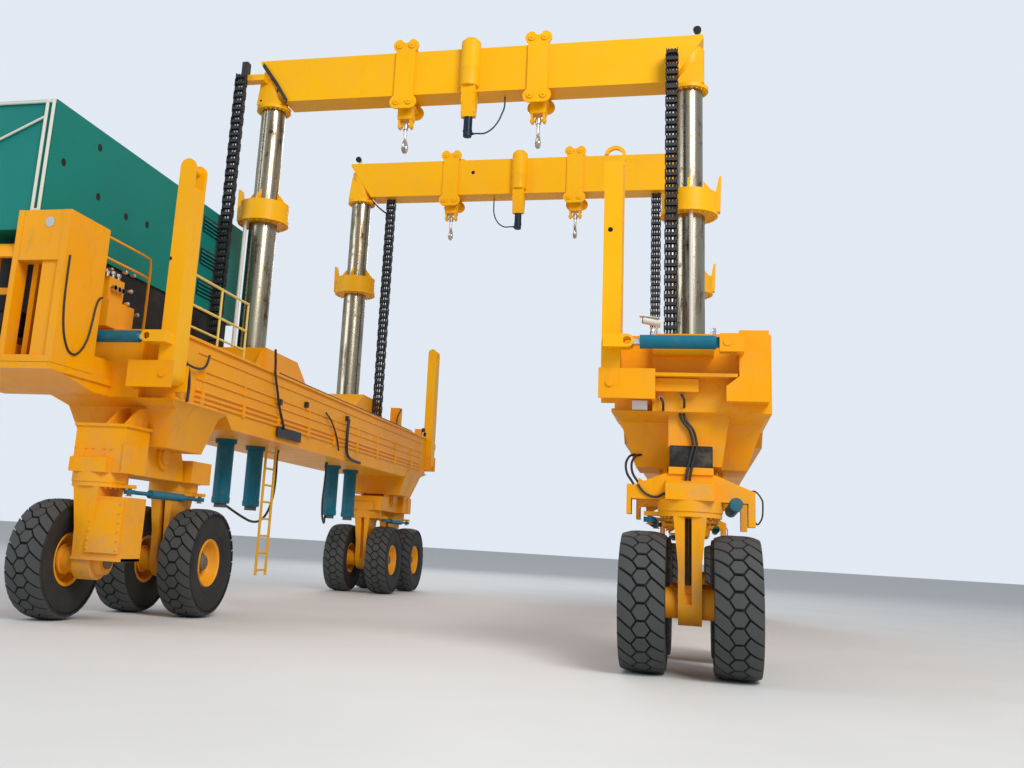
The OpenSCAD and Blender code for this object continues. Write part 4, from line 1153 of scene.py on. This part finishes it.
# On the left frame's inner face: (radius, x, points in y and z), and the last on the pump bay.
FACE = -2.985
INNER_LINES = [
    (0.022, FACE, [(-7.44, 3.87), (-7.20, 3.70), (-6.98, 3.54), (-6.90, 3.30), (-6.91, 3.07)]),
    (0.018, -2.975, [(-7.44, 3.87), (-7.14, 3.63), (-6.88, 3.58), (-6.60, 3.60), (-6.44, 3.68),
                     (-6.37, 3.84)]),
    (0.022, FACE, [(-3.89, 4.40), (-3.84, 4.20), (-3.79, 3.97), (-3.62, 3.68), (-3.47, 3.43), (-3.30, 3.24),
                   (-3.19, 3.10)]),
    (0.018, FACE, [(-1.10, 3.66), (-0.80, 3.56), (-0.53, 3.40), (-0.32, 3.22), (-0.18, 3.01)]),
    (0.032, FACE, [(0.34, 3.70), (0.30, 3.48), (0.30, 3.28), (0.34, 3.04), (0.50, 2.93), (0.85, 2.89),
                   (1.26, 2.88)]),
    (0.014, -3.025, [(-3.50, 4.045), (-1.0, 4.040), (2.0, 4.045), (5.50, 4.040)]),
    (0.016, -3.02, [(4.05, 4.04), (4.10, 4.20), (4.25, 4.34), (4.38, 4.44)]),
    (0.014, -3.935, [(-8.77, 4.73), (-8.77, 4.40), (-8.75, 4.02), (-8.68, 3.72), (-8.56, 3.53),
                     (-8.44, 3.47), (-8.32, 3.49), (-8.18, 3.62), (-8.09, 3.82), (-8.02, 4.19),
                     (-7.96, 4.32), (-7.89, 4.36)])]
inner, bundle = Bag(), Bag()
for radius, x, points in INNER_LINES:
    line(inner, points, radius, "X", x)
block(inner, (-3.012, -3.44, 2.95), (-2.995, -2.30, 3.13))
for y, z in ((-3.40, 3.55), (-2.10, 3.68), (0.32, 3.72), (6.70, 4.20), (6.85, 4.10)):
    block(inner, (-3.050, y - 0.045, z - 0.05), (FACE, y + 0.045, z + 0.05))
# The right bogie's pipes: down its front plate and over the rubber block, in from the leg to the
# wings, and from the frame's end. Each has its points, its radius, how many points its smooth
# curve gets, and the shifts of its copies in X and Z.
DOWN = [(3.84, 7.28, 3.17), (3.86, 7.28, 2.99), (3.96, 7.28, 2.85), (4.00, 7.28, 2.70), (4.00, 7.34, 2.67),
        (4.00, 7.47, 2.66), (4.00, 7.495, 2.60), (3.94, 7.495, 2.35), (3.915, 7.495, 2.19),
        (3.90, 7.495, 2.03)]
ACROSS = [(3.30, 6.83, 2.57), (3.23, 6.90, 2.54), (3.19, 7.02, 2.44), (3.21, 7.14, 2.31), (3.28, 7.24, 2.20),
          (3.32, 7.27, 2.14)]
SHORT = [(0.0, 7.40, 0.0), (0.01, 7.44, -0.02), (0.03, 7.44, -0.07), (0.03, 7.38, -0.13), (0.03, 7.33, -0.15)]
STUBS = ((3.87, 3.26), (3.62, 3.22))
for route, radius, count, shifts in ((DOWN, 0.016, 60, ((0.0, 0.0), (0.045, 0.0))),
                                     (ACROSS, 0.015, 40, ((0.0, 0.0), (0.07, 0.0))),
                                     (SHORT, 0.015, 30, STUBS)):
    for dx, dz in shifts:
        tube(bundle, spline([(x + dx, y, z + dz) for x, y, z in route], count), radius, 10)
loop = [(4.64, 2.13), (4.72, 2.14), (4.79, 2.05), (4.80, 1.97), (4.79, 1.84), (4.74, 1.76), (4.70, 1.80)]
line(bundle, loop, 0.010, "Y", 7.30)
line(bundle, [(3.36, 2.16), (3.42, 2.08), (3.50, 2.03), (3.59, 2.02), (3.68, 2.07)], 0.014, "Y", 7.464)
assembled([(inner, HERE)], "left_frame_lines", HOSE, "chassis", "black_chain", 60)
assembled([(bundle, RIGHT_ENDS)], "right_bogie_lines", HOSE, "chassis", "black_chain", 60)
# Each leg's groove carries two pipes down to the hub, and they turn with the leg.
for unit, sx, sy, reach in UNITS:
    if unit != SINGLE:
        drawn = Bag()
        for x in (3.932, 3.968):
            groove = ((0.222, 1.78), (0.198, 1.60), (0.168, 1.25), (0.158, 1.02))
            tube(drawn, spline([(x, reach + dy, z) for dy, z in groove], 24), 0.015, 10)
        assembled([(drawn, [(sx, sy)])], "leg_lines_" + unit, HOSE, "steer_" + unit, "black_chain", 60)
print("lines", len(inner.faces), "and", len(bundle.faces), "faces")

# %% Fittings
metal, ports = Bag(), Bag()
for y, z in ((-7.87, 4.68), (-7.65, 4.83), (-7.27, 4.89), (-7.04, 4.90), (-7.07, 4.65), (-7.12, 4.45),
             (-6.82, 4.35)):
    bar(metal, (-4.05, y, z), (-3.975, y, z), 0.020, 16)
    bar(metal, (-4.02, y, z), (-3.985, y, z), 0.032, 6)
for x, z in STUBS:
    bar(metal, (x, -7.34, z), (x, -7.41, z), 0.024, 6)
for x in (4.24, 3.55):
    bar(ports, (x, -7.665, 3.95), (x, -7.665, 4.035), 0.030, 16)
    bar(ports, (x, -7.665, 3.99), (x, -7.665, 4.015), 0.040, 6)
assembled([(metal, HERE)], "line_fittings", HOOK, "chassis", "chromed_steel")
assembled([(ports, HERE)], "arm_cylinder_ports", HOOK, "arm_cylinder_fr", "chromed_steel")
# Three flat lines side by side on each beam, and the head of the near left chain.
STRIPS = {"front": (0.0, -0.030, [(-4.10, -3.135, 10.18), (-3.80, -3.135, 9.78), (-3.55, -3.135, 9.40)]),
          "rear": (0.030, 0.0, [(-3.64, 2.76, 9.36), (-3.44, 2.76, 9.16), (-3.16, 2.76, 8.95)])}
for end, (dy, dz, points) in STRIPS.items():
    strips = Bag()
    for k in range(3):
        route = [(x, y + k * dy, z + k * dz) for x, y, z in points]
        tube(strips, spline(route, 20), 0.017, 10)
    if end == "front":
        block(strips, (-4.49, -3.27, 9.86), (-4.37, -3.12, 10.18))
    assembled([(strips, HERE)], "beam_lines_" + end, HOSE, "beam_" + end, "black_chain", 60)

# %% Camera
shell, glass = Bag(), Bag()
bar(shell, (3.58, -7.23, DECK), (3.58, -7.23, 4.15), 0.020, 16)
block(shell, (3.50, -7.29, DECK), (3.62, -7.17, 4.045))
back, look = np.array([3.61, -7.24, 4.185]), np.array([-0.24, -0.02, 0.04])
tube(shell, [back, back + 0.92 * look], 0.048, 28)
plate(shell, [(3.345, 4.268), (3.60, 4.236), (3.60, 4.244), (3.345, 4.278)], -7.31, -7.19)
tube(glass, [back + 0.915 * look, back + 0.96 * look], 0.040, 28)
block(shell, (3.28, -7.46, 3.07), (3.46, -7.195, 3.17))
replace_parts(assembled([(shell, HERE)], "lane_camera", WHITE, "chassis", "white_paint"), "cameras")
assembled([(glass, HERE)], "lane_camera_lens", BLACK, "chassis", "black_paint")
print("camera made")


# %% [markdown]
# ## Tyres
#
# An earthmover tyre carries a middle row of six-sided blocks and two rows of slanted shoulder
# blocks. A displaced grid would need a very fine mesh to keep their edges crisp. Instead the
# carcass is a smooth surface of revolution, and each block is its own small shape: an outline
# on the unrolled tread, bent round the tyre, with a top, sloping walls and a foot in the groove.

# %% Tyre
TYRE_R = 0.810
PITCHES = 26
HALF_TREAD = 0.235
GROOVE = 0.034
PITCH = 2 * math.pi * TYRE_R / PITCHES


def crown(x):
    """Radius of the tread at a distance x from the tyre's middle: almost flat, falling
    ever faster towards the shoulder."""
    return TYRE_R - 0.030 * np.abs(x / HALF_TREAD) ** 3.2


def tread_block(bag, outline, centre):
    """A block of the tread. outline holds (x, arc) corners in order. Ring by ring it goes from
    the groove's floor, out to the block's edge, and in by a small rounding to its top."""
    outline = np.asarray(outline, float)
    middle = outline.mean(axis=0)
    rings = []
    for grow, drop in ((1.05, GROOVE + 0.006), (0.985, 0.006), (0.93, 0.0)):
        ring = middle + (outline - middle) * grow
        radius = crown(np.clip(ring[:, 0], -0.26, 0.26)) - drop
        angle = ring[:, 1] / TYRE_R
        rings.append(np.column_stack([ring[:, 0], radius * np.sin(angle), radius * np.cos(angle)]))
    count = len(outline)
    bag.worn = np.repeat([0.0, 0.75, 1.0], count)
    bag.grid(np.array(rings) + centre, close_v=True)
    # The foot and the top are strips between the outline's two long sides.
    strips = [[i, i + 1, count - 2 - i, count - 1 - i] for i in range(count // 2 - 1)]
    for ring, worn in ((rings[0], 0.0), (rings[-1], 1.0)):
        bag.worn = worn
        bag.add(ring + centre, strips)
    bag.worn = 0.0


def hexagon(at):
    """The middle block at a place round the tyre, with points to the left and right."""
    half_w, half_h, flat = 0.098, 0.083, 0.045
    return [(-half_w, at), (-flat, at + half_h), (flat, at + half_h), (half_w, at), (flat, at - half_h),
            (-flat, at - half_h)]


def shoulder(at, side):
    """A slanted shoulder block. Its inner end is a wedge between two middle blocks, and its two
    long sides run outwards and slant in step with the distance from the middle."""
    half = 0.5 * (PITCH - 0.028)
    xs = np.array([0.112, 0.150, 0.190, 0.220, 0.245, 0.262])
    slant = -0.80 * side * (xs - xs[0])
    lower = np.column_stack([side * xs, at - half + slant])
    upper = np.column_stack([side * xs, at + half + slant])[::-1]
    tip = np.array([(side * 0.060, at - 0.006), (side * 0.060, at + 0.006)])
    return np.vstack([tip[:1], lower, upper, tip[1:]])


def tyre(bag, centre):
    """The carcass is a ring of one outline; the blocks sit on its crown."""
    outside = [(0.0, 0.772), (0.10, 0.771), (0.18, 0.766), (0.225, 0.752), (0.250, 0.722), (0.262, 0.665),
               (0.264, 0.600), (0.259, 0.540), (0.247, 0.470), (0.228, 0.410), (0.206, 0.368), (0.186, 0.350),
               (0.172, 0.340)]
    right = np.array(outside)
    left = right[:0:-1] * [-1, 1]
    lip = np.array([(0.10, 0.336), (-0.10, 0.336)])
    around = np.vstack([left, right, lip])
    revolved(bag, around[:, ::-1], centre, "X", 78)
    for k in range(PITCHES):
        tread_block(bag, hexagon(k * PITCH), centre)
        for side in (-1, 1):
            tread_block(bag, shoulder((k + 0.5) * PITCH, side), centre)
    # Raised rings on the sidewalls.
    for x in (-1, 1):
        for r, h in ((0.690, 0.2615), (0.455, 0.2445)):
            ring = [(r - 0.012, x * (h - 0.012)), (r - 0.006, x * (h + 0.003)), (r + 0.006, x * (h + 0.003)),
                    (r + 0.012, x * (h - 0.012))]
            revolved(bag, ring, centre, "X", 78)


# %% Rims
def rim(bag, centre, s):
    """A dished steel wheel: the dished disc with its flange and bolt circle, the lock ring, and
    the hub. A profile is (radius, distance outwards), as a closed ring, and s is outwards' sign."""
    dish = [(0.100, 0.030), (0.200, 0.030), (0.215, 0.045), (0.250, 0.052), (0.285, 0.085), (0.300, 0.150),
            (0.318, 0.196), (0.352, 0.206), (0.362, 0.196), (0.352, 0.186), (0.334, 0.176), (0.334, -0.190),
            (0.362, -0.206), (0.350, -0.212), (0.316, -0.196), (0.300, -0.060), (0.240, 0.000),
            (0.100, 0.000)]
    lock = [(0.322, 0.188), (0.345, 0.222), (0.356, 0.214), (0.350, 0.190)]
    hub = [(0.001, 0.150), (0.085, 0.150), (0.105, 0.140), (0.118, 0.118), (0.120, 0.030), (0.001, 0.030)]
    for profile, steps in ((dish, 64), (lock, 64), (hub, 40)):
        # The hub and all bolts take the second finish.
        bag.paint = 1 if profile is hub else 0
        revolved(bag, [(r, s * x) for r, x in profile], centre, "X", steps)
    for count, turn, ring, out, radius, height in ((16, 0.0, 0.165, 0.030, 0.017, 0.024),
                                                   (8, 0.5, 0.066, 0.150, 0.009, 0.012)):
        for k in range(count):
            a = 2 * math.pi * (k + turn) / count
            seat = np.asarray(centre) + [s * out, ring * math.sin(a), ring * math.cos(a)]
            bolt(bag, seat, "X", s, radius, height)
    bag.paint = 0


# %% [markdown]
# The near left outer axle shows one tyre only in the photograph: its inner one is missing. So
# that axle gets one wheel, and it ends inside the leg.

# %% Fifteen tyres on eight axles
for unit, sx, sy, reach in UNITS:
    tyres, rims = Bag(), Bag()
    for outward in (1,) if unit == SINGLE else (-1, 1):
        centre = place(sx * (BOGIE_X + outward * 0.53), sy * reach, AXLE_Z)
        tyre(tyres, centre)
        rim(rims, centre, sx * outward)
    rims.paint = 1
    outer, inner = 0.56, 0.29 if unit == SINGLE else 0.56
    axle = [(0.095, -sx * inner), (0.095, sx * outer), (0.001, sx * outer), (0.001, -sx * inner)]
    revolved(rims, axle, place(sx * BOGIE_X, sy * reach, AXLE_Z), "X", 40)
    worn = tyres.build("tyres_" + unit, TYRE, "wheels_" + unit, 35, "tyre_rubber")
    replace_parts(worn, "wheels_" + unit)
    rims.build("rims_" + unit, [YELLOW, HUB_PAINT], "wheels_" + unit, 35, "yellow_paint")
print("tyres made, the last pair of", len(worn.data.polygons), "faces")


# %% [markdown]
# ## Drag chains
#
# The hoses to a beam run in a chain of moulded links. Seen from the side it is a ladder: two
# rows of overlapping side plates with bars across. The links can't fold here. The chain is
# built once, to the size of the frame's own strip, which shortens with the lift.


def chain(bag, x, y, low, high, width, depth):
    """Links one above the other. Each has two side plates that overlap the next one, and a
    crossbar on either face."""
    count = int((high - low) / 0.130)
    step = (high - low) / count
    for k in range(count):
        z = low + k * step
        for side in (-1, 1):
            x0 = x + side * (0.5 * width - (0.0 if k % 2 else 0.012))
            x0, x1 = sorted((x0, x0 - side * 0.012))
            block(bag, (x0, y - 0.5 * depth, z), (x1, y + 0.5 * depth, min(z + step * 1.16, high)))
        for way in (-1, 1):
            edge = y + way * 0.5 * depth
            y0, y1 = sorted((edge, edge - way * 0.014))
            reach = 0.5 * width - 0.013
            block(bag, (x - reach, y0, z + 0.30 * step), (x + reach, y1, z + 0.72 * step))
    # The hoses inside, with daylight between them.
    for dx in (-0.055, -0.005, 0.052):
        rope = np.column_stack([np.full(9, x + dx), np.full(9, y), np.linspace(low, high, 9)])
        tube(bag, rope, 0.019, 8)


for end in ("front", "rear"):
    links = Bag()
    low, high = (np.array(corner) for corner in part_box("drag_chains_" + end))
    for x in (low[0] + 0.11, high[0] - 0.11):
        chain(links, x, 0.5 * (low[1] + high[1]), low[2], high[2], 0.22, high[1] - low[1])
    piece = links.build("chain_links_" + end, CHAIN, "chassis", None, "black_chain")
    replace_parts(piece, "drag_chains_" + end)
    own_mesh(piece)
print("chains from", round(float(low[2]), 2), "to", round(float(high[2]), 2))


# %% [markdown]
# ## Floor and light
#
# A plain pale floor holds the machine's shadow. A large soft lamp from the right front gives
# the warm sides their shape, and a pale world fills the rest, so that a colour looks about as
# it was written. The floor and world look white to the camera without more light on the object.

# %% Stage
def make_floor():
    """One large square at the height of the tyres' feet, with a pale, faintly mottled finish."""
    mesh = bpy.data.meshes.new("studio_floor")
    size = 160.0
    corners = [(x * size, y * size, 0) for x, y in ((-1, -1), (1, -1), (1, 1), (-1, 1))]
    mesh.from_pydata(corners, [], [(0, 1, 2, 3)])
    material, tree, shader = finish("floor_paper", 0.75)
    mottle = ramp(tree, noise(tree, object_coords(tree), 0.4), 0.3, 0.7)
    tone = mixed(tree, mottle, (0.70, 0.70, 0.69), (0.74, 0.74, 0.73))
    tree.links.new(tone, shader.inputs["Base Color"])
    mesh.materials.append(material)
    floor = bpy.data.objects.new("studio_floor", mesh)
    bpy.context.scene.collection.objects.link(floor)


def lamp(name, place_at, aim_at, size, power, colour):
    """A square soft lamp that is turned from its place to look at a point."""
    data = bpy.data.lights.new(name, "AREA")
    data.size = size
    data.energy = power
    data.color = colour
    obj = bpy.data.objects.new(name, data)
    bpy.context.scene.collection.objects.link(obj)
    way = Vector(aim_at) - Vector(place_at)
    obj.matrix_world = Matrix.Translation(place_at) @ way.to_track_quat("-Z", "Y").to_matrix().to_4x4()


make_floor()
lamp("key", (16.0, -22.0, 20.0), (0.0, 0.0, 4.5), 12.0, 5200.0, (1.0, 0.97, 0.92))
lamp("fill", (-22.0, -16.0, 12.0), (0.0, 0.0, 4.0), 14.0, 1500.0, (0.92, 0.96, 1.0))
lamp("back", (-6.0, 26.0, 18.0), (0.0, 0.0, 6.0), 12.0, 2000.0, (1.0, 1.0, 1.0))

world = bpy.data.worlds.new("pale_studio")
bpy.context.scene.world = world
world.use_nodes = True
tree = world.node_tree
background = tree.nodes["Background"]
background.inputs["Color"].default_value = (0.80, 0.86, 0.94, 1.0)
rays = node(tree, "ShaderNodeLightPath")
shown = math_node(tree, "ADD", rays.outputs["Is Camera Ray"], rays.outputs["Is Transmission Ray"])
tree.links.new(ramp(tree, shown, 0.0, 1.0, 0.55, 0.95), background.inputs["Strength"])
bpy.context.scene.view_settings.view_transform = "Standard"
print("stage ready")
